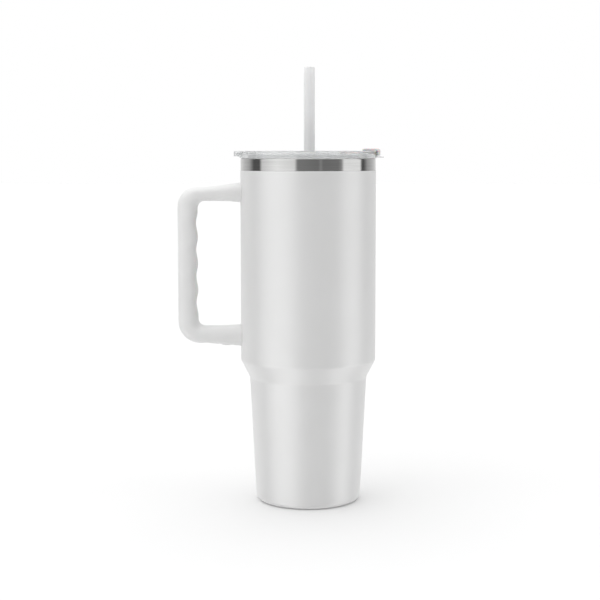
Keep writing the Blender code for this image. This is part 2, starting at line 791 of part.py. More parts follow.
def make_lid_body(materials, lid):
    body = turned("lid_body", lid_outline(), material=materials["clear_plastic"], parent=lid)
    straw_place = (STRAW_OFFSET, 0, 0)
    joint_low = deck_top - DECK_THICKNESS / 2
    boss = ring("straw_boss", 0, boss_radius, joint_low, deck_top + BOSS_RISE, parent=lid, location=straw_place)
    sip_rim = prism(
        "sip_rim",
        slot(sip_x, SIP_LENGTH + 2 * SIP_RIM, SIP_WIDTH + 2 * SIP_RIM, SIP_ROUND + SIP_RIM),
        joint_low,
        deck_top + SIP_RIM_RISE,
        parent=lid,
    )
    join(body, boss, sip_rim, *hinge_ears(lid), lift_tab(lid), flap_lip(lid))

    way_low = deck_bottom - OVERLAP
    straw_way = ring("straw_way", 0, straw_hole, way_low, LID_RISE, parent=lid, location=straw_place)
    sip_way = prism("sip_way", slot(sip_x, SIP_LENGTH, SIP_WIDTH, SIP_ROUND), way_low, LID_RISE, parent=lid)
    vent_top = deck_top + OVERLAP
    vent = rod("vent", VENT_RADIUS, (-VENT_OFFSET, 0, way_low), (-VENT_OFFSET, 0, vent_top), parent=lid)
    ear_reach = FLAP_WIDTH / 2 + GAP + EAR_WALL + OVERLAP
    pin_way = rod(
        "pin_way",
        PIN_RADIUS + GAP,
        (hinge_x, -ear_reach, hinge_z),
        (hinge_x, ear_reach, hinge_z),
        parent=lid,
    )
    cut(body, straw_way, sip_way, vent, pin_way)


def hinge_ears(lid):
    """The two ears that hold the hinge pin, each a tongue with a round top."""
    ears = []
    foot = deck_top - DECK_THICKNESS / 2
    top = hinge_z + min(EAR_RADIUS, HINGE_DROP - GAP)
    outline = rounded(
        [
            (hinge_x - EAR_RADIUS, foot, 0),
            (hinge_x + EAR_RADIUS, foot, 0),
            (hinge_x + EAR_RADIUS, top, EAR_ROUND),
            (hinge_x - EAR_RADIUS, top, EAR_ROUND),
        ],
        closed=True,
    )
    near = FLAP_WIDTH / 2 + GAP
    for side, (low, high) in (("front", (-near - EAR_WALL, -near)), ("back", (near, near + EAR_WALL))):
        ears.append(prism(f"{side}_ear", outline, low, high, plane="XZ", parent=lid))
    return ears


def lift_tab(lid):
    """The hooked tab over the handle that the lid is pulled off by."""
    root = -(flange_radius - FLANGE_SKIRT / 2)
    tip = -(flange_radius + TAB_REACH)
    outline = rounded(
        [
            (root, LID_RISE, 0),
            (tip, LID_RISE, TAB_WALL / 2),
            (tip, LID_RISE - TAB_DROP, TAB_WALL / 3),
            (tip + TAB_WALL, LID_RISE - TAB_DROP, TAB_WALL / 3),
            (tip + TAB_WALL, LID_RISE - TAB_WALL, TAB_WALL / 3),
            (root, LID_RISE - TAB_WALL, 0),
        ],
        closed=True,
    )
    return prism("lift_tab", outline, -TAB_WIDTH / 2, TAB_WIDTH / 2, plane="XZ", parent=lid)


def flap_lip(lid):
    """The thin lip of the flange under the flap's thumb tab."""
    root = flange_radius - FLANGE_SKIRT / 2
    tip = flange_radius + LIP_REACH
    outline = [
        (root, LIP_LIFT),
        (tip, LIP_LIFT),
        (tip, LIP_LIFT + LIP_TIP),
        (flange_radius, lip_top),
        (root, lip_top),
    ]
    return prism("flap_lip", outline, -LIP_WIDTH / 2, LIP_WIDTH / 2, plane="XZ", parent=lid)


def make_gasket(materials, lid):
    """A silicone ring in the plug's groove, with two lips that press on the liner."""
    low = -PLUG_DEPTH + GASKET_LIFT + GAP
    high = low + GASKET_HEIGHT - 2 * GAP
    inner = plug_radius - GASKET_DEPTH + GAP
    body = plug_radius + GAP
    tip = mouth_radius - GAP
    middle = (low + high) / 2
    corners = [
        (inner, low),
        (body, low),
        (tip, low + GASKET_LIP),
        (tip, low + GASKET_LIP + GASKET_EDGE),
        (body, middle),
        (tip, high - GASKET_LIP),
        (tip, high - GASKET_LIP + GASKET_EDGE),
        (body, high),
        (inner, high),
    ]
    outline = [Vector(c) for c in corners]
    turned("lid_gasket", outline, material=materials["silicone"], parent=lid)


def make_grommet(materials, lid):
    """The silicone spool that grips the straw."""
    top = deck_top + BOSS_RISE + GAP
    bottom = deck_bottom - GAP
    flange = grommet_neck + GROMMET_FLANGE
    corners = [
        (grommet_bore, bottom - GROMMET_FLANGE_THICKNESS),
        (flange, bottom - GROMMET_FLANGE_THICKNESS),
        (flange, bottom),
        (grommet_neck, bottom),
        (grommet_neck, top),
        (flange, top),
        (flange, top + GROMMET_FLANGE_THICKNESS),
        (grommet_bore, top + GROMMET_FLANGE_THICKNESS),
    ]
    outline = [Vector(c) for c in corners]
    turned(
        "straw_grommet",
        outline,
        segments=SEGMENTS // 2,
        material=materials["silicone"],
        parent=lid,
        location=(STRAW_OFFSET, 0, 0),
    )


def flap_outline():
    """Side view of the flap, measured from its hinge axis: barrel, arm, step over the flange, and thumb tab."""
    arm_top = HINGE_DROP - FLAP_SINK
    barrel = BARREL_RADIUS
    over_flange = HINGE_DROP + GAP
    thumb_top = HINGE_DROP + THUMB_RISE
    hook_inner = flange_radius + GAP - hinge_x
    hook_outer = flange_radius + THUMB_OVERHANG - hinge_x
    hook_low = lip_top + GAP - hinge_z
    step = arm_end - hinge_x
    return rounded(
        [
            (-barrel, -barrel, barrel),
            (barrel, -barrel, barrel),
            (barrel, arm_top - FLAP_ARM, 0),
            (step, arm_top - FLAP_ARM, 0),
            (step, over_flange, 0),
            (hook_inner, over_flange, 0),
            (hook_inner, hook_low, 0),
            (hook_outer, hook_low, THUMB_ROUND / 3),
            (hook_outer, thumb_top, THUMB_ROUND),
            (step - FLAP_WEB, thumb_top, THUMB_ROUND / 3),
            (step - FLAP_WEB - THUMB_RAMP, arm_top, 0),
            (-barrel, arm_top, barrel),
        ],
        closed=True,
    )


def make_flap(materials, hinge):
    half = FLAP_WIDTH / 2
    flap = prism(
        "sip_flap", flap_outline(), -half, half, plane="XZ", material=materials["flap_plastic"], parent=hinge
    )
    bore = rod(
        "flap_bore",
        PIN_RADIUS + GAP,
        (0, -half - OVERLAP, 0),
        (0, half + OVERLAP, 0),
        parent=hinge,
    )
    seal_x = sip_x - hinge_x
    seal_low = deck_top + SIP_RIM_RISE + GAP - hinge_z
    arm_bottom = HINGE_DROP - FLAP_SINK - FLAP_ARM
    length = SIP_LENGTH + 2 * SIP_RIM
    width = SIP_WIDTH + 2 * SIP_RIM
    pocket = prism(
        "seal_pocket",
        slot(seal_x, length, width, SIP_ROUND + SIP_RIM),
        arm_bottom - OVERLAP,
        arm_bottom + SEAL_POCKET,
        parent=hinge,
    )
    cut(flap, bore, pocket)
    prism(
        "flap_seal",
        slot(seal_x, length - 2 * GAP, width - 2 * GAP, SIP_ROUND + SIP_RIM - GAP),
        seal_low,
        min(seal_low + SEAL_THICKNESS, arm_bottom + SEAL_POCKET - GAP),
        material=materials["silicone"],
        parent=hinge,
    )


def make_pin(materials, lid):
    reach = FLAP_WIDTH / 2 + GAP + EAR_WALL
    rod(
        "hinge_pin",
        PIN_RADIUS,
        (0, -reach, 0),
        (0, reach, 0),
        material=materials["brushed_steel"],
        parent=lid,
        location=(hinge_x, 0, hinge_z),
    )


def make_straw(materials, lid):
    """A straight tube that stands on the liner's floor. Its own origin is on its axis, at the rim."""
    low = LINER_FLOOR_HEIGHT + GAP - RIM_HEIGHT
    ring(
        "straw",
        STRAW_RADIUS - STRAW_WALL,
        STRAW_RADIUS,
        low,
        STRAW_RISE,
        segments=SEGMENTS // 2,
        material=materials["straw_plastic"],
        parent=lid,
        location=(STRAW_OFFSET, 0, 0),
    )


def main():
    clear_scene()
    materials = make_materials()
    make_shell(materials)
    make_liner(materials)
    make_base(materials)
    make_handle(materials)
    lid = frame_at("lid_frame", (0, 0, RIM_HEIGHT))
    make_lid_body(materials, lid)
    make_gasket(materials, lid)
    make_grommet(materials, lid)
    make_pin(materials, lid)
    hinge = frame_at("flap_frame", (hinge_x, 0, hinge_z), parent=lid)
    make_flap(materials, hinge)
    make_straw(materials, lid)


main()
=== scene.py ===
import json
import math

import bmesh
import bpy
from mathutils import Matrix, Vector


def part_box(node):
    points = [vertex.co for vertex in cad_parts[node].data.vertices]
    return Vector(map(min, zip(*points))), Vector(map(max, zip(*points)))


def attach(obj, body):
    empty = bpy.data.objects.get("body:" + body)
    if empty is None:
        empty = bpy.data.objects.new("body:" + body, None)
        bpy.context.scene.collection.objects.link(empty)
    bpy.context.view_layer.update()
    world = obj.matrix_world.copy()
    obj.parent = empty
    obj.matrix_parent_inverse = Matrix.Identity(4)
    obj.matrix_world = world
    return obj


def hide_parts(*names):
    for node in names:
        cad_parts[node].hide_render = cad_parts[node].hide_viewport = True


# The looks of the insulated tumbler: smooth, finely divided pieces in place of the faceted CAD solids,
# with procedural materials, on a white floor in a studio made of soft boxes. The cup's axis is Z, the
# handle is at -X, the sip flap at +X, and the camera looks along +Y. Places and main sizes come from the
# CAD frame.

MM = 0.001
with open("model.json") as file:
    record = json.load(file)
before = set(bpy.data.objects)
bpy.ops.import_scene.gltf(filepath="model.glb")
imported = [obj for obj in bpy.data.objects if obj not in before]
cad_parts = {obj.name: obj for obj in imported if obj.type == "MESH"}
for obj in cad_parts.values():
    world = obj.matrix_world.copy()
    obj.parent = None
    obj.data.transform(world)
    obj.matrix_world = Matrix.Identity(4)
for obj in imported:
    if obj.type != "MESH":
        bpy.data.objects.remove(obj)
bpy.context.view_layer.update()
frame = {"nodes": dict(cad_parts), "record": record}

# How finely shapes are divided
SEGMENTS = 192  # around a turned piece as wide as the cup
SMALL_SEGMENTS = 64  # around a pin, a screw hole or a plug
STRAW_SEGMENTS = 96  # around the straw and what holds it
ARC_STEP = math.radians(9)  # along a rounded corner
SKIN = 0.05 * MM  # gap left between pieces that touch
OVERLAP = 1.0 * MM  # how far a cutter runs past the face it cuts
SHARP_ANGLE = math.radians(38)
SLIVER = 0.001 * MM  # features under this size are faults of a cut
ON_AXIS = 1e-9  # a radius under this is on the axis
TINY = 1e-7  # a corner cut under this is left square
CORNER_SHARE = 0.49  # a rounding takes at most this share of a side
MITRE_LIMIT = 0.3  # least cosine of half a corner's turn
SOFTENING_STEPS = 3  # faces across a softened edge
END_FACING = 0.99  # cosine of the slant under which a face is a prism's end

# Cup body
SHELL_WALL = 0.5 * MM
LINER_WALL = 0.4 * MM
COAT_EDGE = 0.12 * MM  # rounding of the paint where it stops below the bare band
SHOULDER_HEIGHT = 104.2 * MM
SHOULDER_DROP = 12.8 * MM
SHOULDER_STEP = 6.55 * MM
SHOULDER_ROUND = 6.0 * MM
WAIST_ROUND = 6.0 * MM
BASE_ROUND = 3.6 * MM
FOOT_WIDTH = 3.6 * MM
RECESS_ROUND = 0.8 * MM
DIMPLE_RADIUS = 5.0 * MM
DIMPLE_RISE = 1.6 * MM
DIMPLE_ROUND = 0.5 * MM
PORT_RADIUS = 1.0 * MM
LIP_ROUND = 0.9 * MM
FLOOR_ROUND = 6.0 * MM
SPUN_RING_RADII = (9.0, 17.0, 25.0)  # shallow rings pressed in the liner's floor, in millimetres
SPUN_RING_DEPTH = 0.25 * MM
SPUN_RING_WIDTH = 1.6 * MM
SATIN_ROUGHNESS = 0.35  # added to the liner's polish inside the cup
PAD_GROOVES = (0.45, 0.72)  # shares of the pad's radius
PAD_GROOVE_WIDTH = 1.2 * MM
PAD_GROOVE_DEPTH = 0.35 * MM
PAD_ROUND = 0.4 * MM

# Handle
UPPER_ARM = 10.3 * MM
LOWER_ARM = 12.4 * MM
BAR_DEPTH = 14.5 * MM
UPPER_FLARE = 4.1 * MM
LOWER_FLARE = 2.8 * MM
INNER_FLARE = 1.7 * MM
FLARE_POWER = 1.15
INNER_FLARE_POWER = 3
ARM_STATIONS = 18
UPPER_OUTER_ROUND = 14.0 * MM
LOWER_OUTER_ROUND = 16.0 * MM
INNER_ROUND = 5.0 * MM
SECTION_POWER = 2.6
SECTION_POINTS = 72
ROOT_INSET = 6.0 * MM
GROOVE_COUNT = 4
GROOVE_DEPTH = 1.3 * MM
STATIONS_PER_GROOVE = 18
BRACKET_WALL = 1.5 * MM
BRACKET_WIDTH = 13.0 * MM
POCKET_GAP = 0.3 * MM
SCREW_HEAD_HEIGHT = 2.0 * MM
BORE_RUN = 3.0 * MM  # how far a screw's bore runs out of the arm's underside
PLUG_SOFTENING = 0.25 * MM
GRIP_ROUND = 2.2 * MM  # corners of the grip's outline
GRIP_EDGE = 0.5 * MM  # rounding where its face turns into its sides
GRIP_EDGE_ROWS = 5
GRIP_ROWS = 150
GRIP_COLUMNS = 44

# Lid, in heights from the rim
FLANGE_WEB = 1.8 * MM
FLANGE_SKIRT = 1.7 * MM
FLANGE_ROUND = 0.7 * MM
PLUG_WALL = 1.8 * MM
PLUG_CLEARANCE = 1.4 * MM
DECK_DROP = 5.6 * MM
DECK_THICKNESS = 1.8 * MM
GASKET_DEPTH = 1.2 * MM
GASKET_GAP = 0.3 * MM
GASKET_LIP = 0.7 * MM
GASKET_LOW_SHARE = 1.6  # of a lip's height: where the lower lip's tip ends
GASKET_EDGE = 0.2 * MM
GASKET_ROUND = 0.3 * MM
BOSS_WALL = 2.5 * MM
BOSS_RISE = 3.0 * MM
BOSS_SOFTENING = 0.5 * MM
GROMMET_LAP = 1.4 * MM  # how far its lips reach over the boss
GROMMET_SOFTENING = 0.4 * MM
VENT_RADIUS = 1.2 * MM
VENT_OFFSET = 24.0 * MM
TAB_WALL = 1.4 * MM
TAB_DROP = 3.8 * MM
TAB_WIDTH = 16.0 * MM
TAB_RIB = 1.2 * MM
RIB_PLACE_SHARE = 0.36  # of the tab's width, off the middle
RIB_DEPTH_SHARE = 0.8  # of the tab's drop
RIB_LIFT = 0.4 * MM
LIP_WIDTH = 12.0 * MM
LIP_LIFT = 0.5 * MM
LIP_THICKNESS = 1.0 * MM
LIP_TIP = 0.5 * MM
LIP_SOFTENING = 0.15 * MM
SIP_LENGTH = 8.5 * MM
SIP_WIDTH = 13.0 * MM
SIP_ROUND = 3.0 * MM
SIP_RIM = 1.4 * MM
SIP_RIM_RISE = 1.2 * MM
SIP_SOFTENING = 0.4 * MM
EAR_WALL = 2.2 * MM
EAR_ROUND = 2.4 * MM
EAR_ROUND_SHARE = 0.9
EAR_SINK = 0.3 * MM  # the ears end this far below the flange's top
EAR_GAP = 0.3 * MM

# Flap, in heights from the hinge axis
HINGE_DROP = 2.6 * MM
FLAP_ARM = 2.5 * MM
FLAP_SINK = 0.3 * MM
FLAP_WEB = 0.9 * MM
FLAP_GAP = 0.3 * MM
THUMB_ROUND = 1.6 * MM
THUMB_RAMP = 0.3 * MM
THUMB_FOOT_ROUND = 0.6 * MM
BARREL_RADIUS = 2.2 * MM
BARREL_CORNER = 0.3 * MM
PIN_RADIUS = 1.0 * MM
PIN_SOFTENING = 0.2 * MM
SEAL_POCKET = 1.0 * MM
SEAL_SOFTENING = 0.45 * MM
FLAP_CORNER = 0.5 * MM
EDGE_SOFTENING = 0.3 * MM

STRAW_WALL = 0.7 * MM
STRAW_END_SHARE = 0.45  # rounding of its ends, of its wall

# Camera and studio
CAMERA_DISTANCE = 0.956
CAMERA_HEIGHT = 0.252
CAMERA_PITCH = math.radians(5.0)
SENSOR_WIDTH = 36.0  # millimetres, as LENS is
LENS = 78.3
SHIFT_X = -0.0136
SHIFT_Y = -0.0465
CLIP = (0.01, 50.0)
FLOOR_RADIUS = 12.0
FLOOR_SEGMENTS = 96
FLOOR_TONE = 0.83
FLOOR_VARIATION = 0.01
FLOOR_CLOUD = 0.6  # width of its slow change of tone
# Radiance round the horizon and above it, as (bearing in degrees, value) with 0 towards the camera
RING = (
    (-180, 0.85), (-154, 0.85), (-128, 0.68), (-118, 0.55),  # the room behind, on the left
    (-105, 0.13), (-90, 0.13),  # a black flag
    (-84, 0.95), (-54, 1.32), (-23, 1.10),  # the left soft box
    (-18, 0.30), (17, 0.24), (21, 0.36), (25, 0.24), (52, 0.26), (58, 0.40),  # the dim front, with a slit
    (63, 1.20), (98, 1.20),  # the right soft box
    (103, 0.12), (109, 0.14),  # a black flag
    (120, 0.50), (140, 0.70), (160, 0.85), (180, 0.85),  # the room behind, on the right
)
CEILING = ((-180, 1.6), (-90, 1.9), (0, 1.25), (90, 1.3), (180, 1.6))
CEILING_RISE = (28, 42)  # degrees over which the ceiling takes over
FLOOR_GLOW = 0.30
GLOW_DROP = (9, 16)  # degrees below the horizon over which the floor's glow comes in

# What the frame says
shell_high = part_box("outer_shell")[1]
liner_low, liner_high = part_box("inner_liner")
base_low, base_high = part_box("base_cup")
pad_low, pad_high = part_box("base_pad")
core_low, core_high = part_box("handle_core")
grip_low, grip_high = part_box("grip_insert")
lid_low, lid_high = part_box("lid_body")
gasket_low, gasket_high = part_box("lid_gasket")
spool_low, spool_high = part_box("straw_grommet")
straw_low, straw_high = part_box("straw")
flap_low, flap_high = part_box("sip_flap")
seal_low, seal_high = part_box("flap_seal")
hinge_joint = next(j for j in frame["record"]["behaviour"]["joints"] if j["name"] == "flap_hinge")
hinge = Vector(hinge_joint["pos_m"])

body_radius = shell_high.x
foot_z = base_low.z
base_radius = base_high.x
waist_radius = body_radius - SHOULDER_STEP
waist_z = SHOULDER_HEIGHT - SHOULDER_DROP
rim_z = liner_high.z
band_radius = liner_high.x
liner_floor = liner_low.z + LINER_WALL
pad_radius = pad_high.x
band_bottom = shell_high.z
recess_radius = base_radius - BASE_ROUND - FOOT_WIDTH
recess_z = pad_high.z + POCKET_GAP

flange_radius = lid_high.y
plug_radius = gasket_high.x + GASKET_GAP - PLUG_CLEARANCE
mouth_radius = plug_radius + PLUG_CLEARANCE
well_radius = plug_radius - PLUG_WALL
lid_top = lid_high.z
deck_top = lid_top - DECK_DROP
deck_bottom = deck_top - DECK_THICKNESS
plug_bottom = lid_low.z
sip_x = (seal_low.x + seal_high.x) / 2

straw_x = (straw_low.x + straw_high.x) / 2
straw_radius = straw_high.y
spool_bore = straw_radius + SKIN
spool_flange = spool_high.y
boss_bore = spool_flange - GROMMET_LAP

handle_x = core_low.x
handle_half_width = core_high.y
handle_top = core_high.z - UPPER_FLARE
handle_bottom = core_low.z + LOWER_FLARE
bar_x = handle_x + BAR_DEPTH
upper_inner = handle_top - UPPER_ARM
lower_inner = handle_bottom + LOWER_ARM


# Materials ------------------------------------------------


NOISE_LOW = 0.3  # nearly all of a noise's values lie between these two
NOISE_HIGH = 0.7
NARROW = (0.32, 0.68)  # the same for a sum of noises


def node(tree, kind, inputs=None, **settings):
    """A shader node. An input is given a number, a colour, or another node's output to link to."""
    made = tree.nodes.new(kind)
    for key, value in settings.items():
        setattr(made, key, value)
    for key, value in (inputs or {}).items():
        if isinstance(value, bpy.types.NodeSocket):
            tree.links.new(value, made.inputs[key])
        else:
            made.inputs[key].default_value = value
    return made


def math_node(tree, operation, *values):
    made = node(tree, "ShaderNodeMath", dict(enumerate(values)), operation=operation)
    return made.outputs[0]


def ramp(tree, factor, stops):
    """A colour ramp through (position, grey or colour) stops."""
    made = node(tree, "ShaderNodeValToRGB", {"Fac": factor})
    band = made.color_ramp
    while len(band.elements) < len(stops):
        band.elements.new(0.5)
    for element, (position, value) in zip(band.elements, stops):
        colour = (value,) * 3 if isinstance(value, (int, float)) else value
        element.position = position
        element.color = (*colour, 1.0)
    return made.outputs["Color"]


def two_tone(tree, value, dark, light, start=NOISE_LOW, end=NOISE_HIGH):
    """A noise value from start to end, as a colour from dark to light."""
    return ramp(tree, value, [(start, dark), (end, light)])


def spread(tree, value, low, high, start=NOISE_LOW, end=NOISE_HIGH):
    """A noise value from start to end, as a number from low to high."""
    inputs = {"Value": value, "From Min": start, "From Max": end, "To Min": low, "To Max": high}
    return node(tree, "ShaderNodeMapRange", inputs).outputs["Result"]


def noise(tree, place, size, detail=2.0):
    """Noise whose lumps are about size metres across."""
    inputs = {"Vector": place, "Scale": 1.0 / size, "Detail": detail, "Roughness": 0.55}
    return node(tree, "ShaderNodeTexNoise", inputs).outputs["Fac"]


def in_place(tree):
    return node(tree, "ShaderNodeTexCoord").outputs["Object"]


def from_axis(tree, apart):
    """The distance from the Z axis, from separated coordinates."""
    x, y = apart.outputs["X"], apart.outputs["Y"]
    squares = math_node(tree, "ADD", math_node(tree, "MULTIPLY", x, x), math_node(tree, "MULTIPLY", y, y))
    return math_node(tree, "SQRT", squares)


def round_axis(tree, along, across):
    """Coordinates that run round Z, for marks left by turning or drawing: stretched along, fine across."""
    apart = node(tree, "ShaderNodeSeparateXYZ", {"Vector": in_place(tree)})
    angle = math_node(tree, "ARCTAN2", apart.outputs["Y"], apart.outputs["X"])
    parts = {
        "X": math_node(tree, "MULTIPLY", angle, along),
        "Y": math_node(tree, "MULTIPLY", from_axis(tree, apart), across),
        "Z": math_node(tree, "MULTIPLY", apart.outputs["Z"], across),
    }
    return node(tree, "ShaderNodeCombineXYZ", parts).outputs["Vector"]


def new_material(name, **sockets):
    """A material and its tree, with even values set on the shader's own sockets."""
    made = bpy.data.materials.new(name)
    made.use_nodes = True
    shader = made.node_tree.nodes["Principled BSDF"]
    for key, value in sockets.items():
        shader.inputs[key.replace("_", " ")].default_value = value
    return made, made.node_tree, shader


def surface(tree, shader, colour=None, roughness=None, height=None, depth=0.0, strength=1.0):
    """Links the varying colour, roughness and relief of a surface. depth is the relief's full height."""
    if colour is not None:
        tree.links.new(colour, shader.inputs["Base Color"])
    if roughness is not None:
        tree.links.new(roughness, shader.inputs["Roughness"])
    if height is not None:
        bump = node(tree, "ShaderNodeBump", {"Height": height, "Distance": depth, "Strength": strength})
        tree.links.new(bump.outputs["Normal"], shader.inputs["Normal"])


def added(tree, *shares):
    """The sum of (value, share) pairs."""
    total = math_node(tree, "MULTIPLY", *shares[0])
    for value, share in shares[1:]:
        total = math_node(tree, "ADD", total, math_node(tree, "MULTIPLY", value, share))
    return total


def powder_coat():
    """White satin powder coat: an even fine grain over a slow orange peel, with a faint pearl."""
    made, tree, shader = new_material("white_powder_coat", Metallic=0.25, IOR=1.65)
    place = in_place(tree)
    grain = noise(tree, place, 0.45 * MM, 3.0)
    peel = noise(tree, place, 2.4 * MM)
    tone = noise(tree, place, 45 * MM)
    mixed = added(tree, (tone, 0.7), (grain, 0.3))
    colour = two_tone(tree, mixed, (0.742, 0.742, 0.739), (0.772, 0.772, 0.770))
    rough = spread(tree, grain, 0.36, 0.46)
    surface(tree, shader, colour, rough, added(tree, (grain, 0.5), (peel, 0.5)), 0.02 * MM, 0.5)
    return made


def turned_steel():
    """Bare stainless steel with fine marks round the axis: polished on the band, satin inside the cup."""
    made, tree, shader = new_material("turned_steel", Metallic=1.0, Anisotropic=0.2)
    fine = noise(tree, round_axis(tree, 0.6, 1 / (0.22 * MM)), 1.0, 3.0)
    broad = noise(tree, round_axis(tree, 0.8, 1 / (1.6 * MM)), 1.0, 1.0)
    cloud = noise(tree, in_place(tree), 14 * MM)
    marks = added(tree, (fine, 0.6), (broad, 0.25), (cloud, 0.15))
    apart = node(tree, "ShaderNodeSeparateXYZ", {"Vector": in_place(tree)})
    wall_middle = mouth_radius + LINER_WALL / 2
    inside = spread(tree, from_axis(tree, apart), 1.0, 0.0, wall_middle, mouth_radius + LINER_WALL)
    polished = spread(tree, marks, 0.05, 0.10)
    rough = math_node(tree, "ADD", polished, math_node(tree, "MULTIPLY", inside, SATIN_ROUGHNESS))
    bright = two_tone(tree, marks, (0.50, 0.50, 0.495), (0.62, 0.62, 0.615), *NARROW)
    satin = two_tone(tree, marks, (0.70, 0.70, 0.695), (0.80, 0.80, 0.795), *NARROW)
    colour = node(tree, "ShaderNodeMix", {0: inside, 6: bright, 7: satin}, data_type="RGBA").outputs[2]
    surface(tree, shader, colour, rough, marks, 0.004 * MM, 0.6)
    return made


def plain_steel():
    """Stainless fasteners and pressings: a slight mottle and drawing marks."""
    made, tree, shader = new_material("plain_steel", Metallic=1.0)
    place = in_place(tree)
    mottle = noise(tree, place, 1.4 * MM, 4.0)
    colour = two_tone(tree, mottle, (0.46, 0.46, 0.455), (0.60, 0.60, 0.595))
    surface(tree, shader, colour, spread(tree, mottle, 0.22, 0.36), mottle, 0.01 * MM, 0.5)
    return made


def dull_metal():
    """Sintered getter metal: dark, granular and matt."""
    made, tree, shader = new_material("sintered_metal", Metallic=0.8)
    grain = noise(tree, in_place(tree), 0.3 * MM, 4.0)
    colour = two_tone(tree, grain, (0.16, 0.155, 0.15), (0.30, 0.295, 0.29))
    surface(tree, shader, colour, spread(tree, grain, 0.55, 0.8), grain, 0.06 * MM, 0.8)
    return made


def solder_glass():
    """The fused bead that seals the vacuum port."""
    made, tree, shader = new_material("solder_glass", IOR=1.6)
    cloud = noise(tree, in_place(tree), 1.2 * MM, 3.0)
    colour = two_tone(tree, cloud, (0.10, 0.14, 0.18), (0.26, 0.33, 0.38))
    surface(tree, shader, colour, spread(tree, cloud, 0.08, 0.2), cloud, 0.05 * MM, 0.4)
    return made


def moulding(name, dark, light, rough, grain_size, grain_depth, **sockets):
    """A pale moulding: a spark-eroded grain of the given size, and a slow change of tone."""
    made, tree, shader = new_material(name, **sockets)
    place = in_place(tree)
    grain = noise(tree, place, grain_size, 3.0)
    tone = noise(tree, place, 22 * MM)
    colour = two_tone(tree, added(tree, (tone, 0.75), (grain, 0.25)), dark, light, *NARROW)
    varied = spread(tree, grain, rough - 0.06, rough + 0.06)
    surface(tree, shader, colour, varied, grain, grain_depth, 0.5)
    return made


def clear_plastic():
    """Clear copolyester, a little milky, with a moulding's faint ripple and the haze of a few wipes."""
    made, tree, shader = new_material("clear_plastic", IOR=1.5, Transmission_Weight=0.75)
    place = in_place(tree)
    haze = noise(tree, place, 7 * MM, 3.0)
    ripple = noise(tree, place, 16 * MM)
    colour = two_tone(tree, ripple, (0.955, 0.965, 0.968), (0.975, 0.982, 0.984))
    surface(tree, shader, colour, spread(tree, haze, 0.08, 0.14), ripple, 0.12 * MM, 0.2)
    return made


def straw_plastic():
    """Milky extruded plastic with faint draw lines along the straw."""
    made, tree, shader = new_material(
        "milky_straw", IOR=1.5,
        Subsurface_Weight=0.35, Subsurface_Radius=(1.0, 0.95, 0.9), Subsurface_Scale=2.0 * MM,
    )
    lines = noise(tree, round_axis(tree, 14.0, 30.0), 1.0, 2.0)
    cloud = noise(tree, in_place(tree), 12 * MM)
    colour = two_tone(tree, added(tree, (lines, 0.5), (cloud, 0.5)), (0.82, 0.82, 0.82), (0.87, 0.87, 0.87))
    surface(tree, shader, colour, spread(tree, lines, 0.24, 0.36), lines, 0.03 * MM, 0.4)
    return made


coat = powder_coat()
steel = turned_steel()
fixing_steel = plain_steel()
getter_metal = dull_metal()
bead_glass = solder_glass()
clear = clear_plastic()
straw_white = straw_plastic()
handle_white = moulding(
    "handle_plastic", (0.725, 0.725, 0.722), (0.775, 0.775, 0.772),
    rough=0.46, grain_size=0.35 * MM, grain_depth=0.03 * MM,
)
grip_white = moulding(
    "grip_rubber", (0.70, 0.70, 0.697), (0.76, 0.76, 0.757),
    rough=0.62, grain_size=0.25 * MM, grain_depth=0.04 * MM,
    Subsurface_Weight=0.2, Subsurface_Scale=1.5 * MM,
)
flap_white = moulding(
    "flap_plastic", (0.72, 0.72, 0.72), (0.78, 0.78, 0.78),
    rough=0.32, grain_size=0.5 * MM, grain_depth=0.012 * MM,
    Subsurface_Weight=0.5, Subsurface_Scale=3.0 * MM,
)
silicone = moulding(
    "milky_silicone", (0.66, 0.67, 0.67), (0.74, 0.745, 0.745),
    rough=0.5, grain_size=0.3 * MM, grain_depth=0.02 * MM,
    Subsurface_Weight=0.2, Subsurface_Scale=1.5 * MM,
)
pad_rubber = moulding(
    "pad_rubber", (0.30, 0.30, 0.30), (0.37, 0.37, 0.37),
    rough=0.7, grain_size=0.3 * MM, grain_depth=0.05 * MM,
)


# Outlines -------------------------------------------------


def rounded(corners, closed=False):
    """The points of a path through corners (a, b, radius), with an arc of that radius at each."""
    points = []
    count = len(corners)
    for i, (a, b, radius) in enumerate(corners):
        here = Vector((a, b))
        if radius <= 0 or (not closed and i in (0, count - 1)):
            points.append(here)
            continue
        before = Vector(corners[i - 1][:2]) - here
        after = Vector(corners[(i + 1) % count][:2]) - here
        turn = math.pi - before.angle(after)
        cut = min(radius * math.tan(turn / 2), CORNER_SHARE * before.length, CORNER_SHARE * after.length)
        if cut < TINY:
            points.append(here)
            continue
        fitted = cut / math.tan(turn / 2)
        start = here + before.normalized() * cut
        middle = (before.normalized() + after.normalized()).normalized()
        centre = here + middle * math.hypot(cut, fitted)
        steps = max(2, math.ceil(turn / ARC_STEP))
        sign = 1 if before.cross(after) < 0 else -1
        for step in range(steps + 1):
            points.append(centre + Matrix.Rotation(sign * turn * step / steps, 2) @ (start - centre))
    return points


def offset(path, distance):
    """The path moved sideways by distance, to its left for a positive number, with mitred corners."""
    moved = []
    for i, here in enumerate(path):
        before = (here - path[i - 1]).normalized() if i > 0 else None
        after = (path[i + 1] - here).normalized() if i < len(path) - 1 else None
        before = before or after
        after = after or before
        along = (before + after).normalized()
        moved.append(here + Vector((-along.y, along.x)) * distance / max(MITRE_LIMIT, along.dot(before)))
    return moved


def sheet_outline(path, wall):
    """The closed outline of sheet metal of this wall, on the left of the path."""
    other = offset(path, wall)
    for i in (0, -1):
        if path[i].x < ON_AXIS:
            other[i].x = 0
    return path + other[::-1]


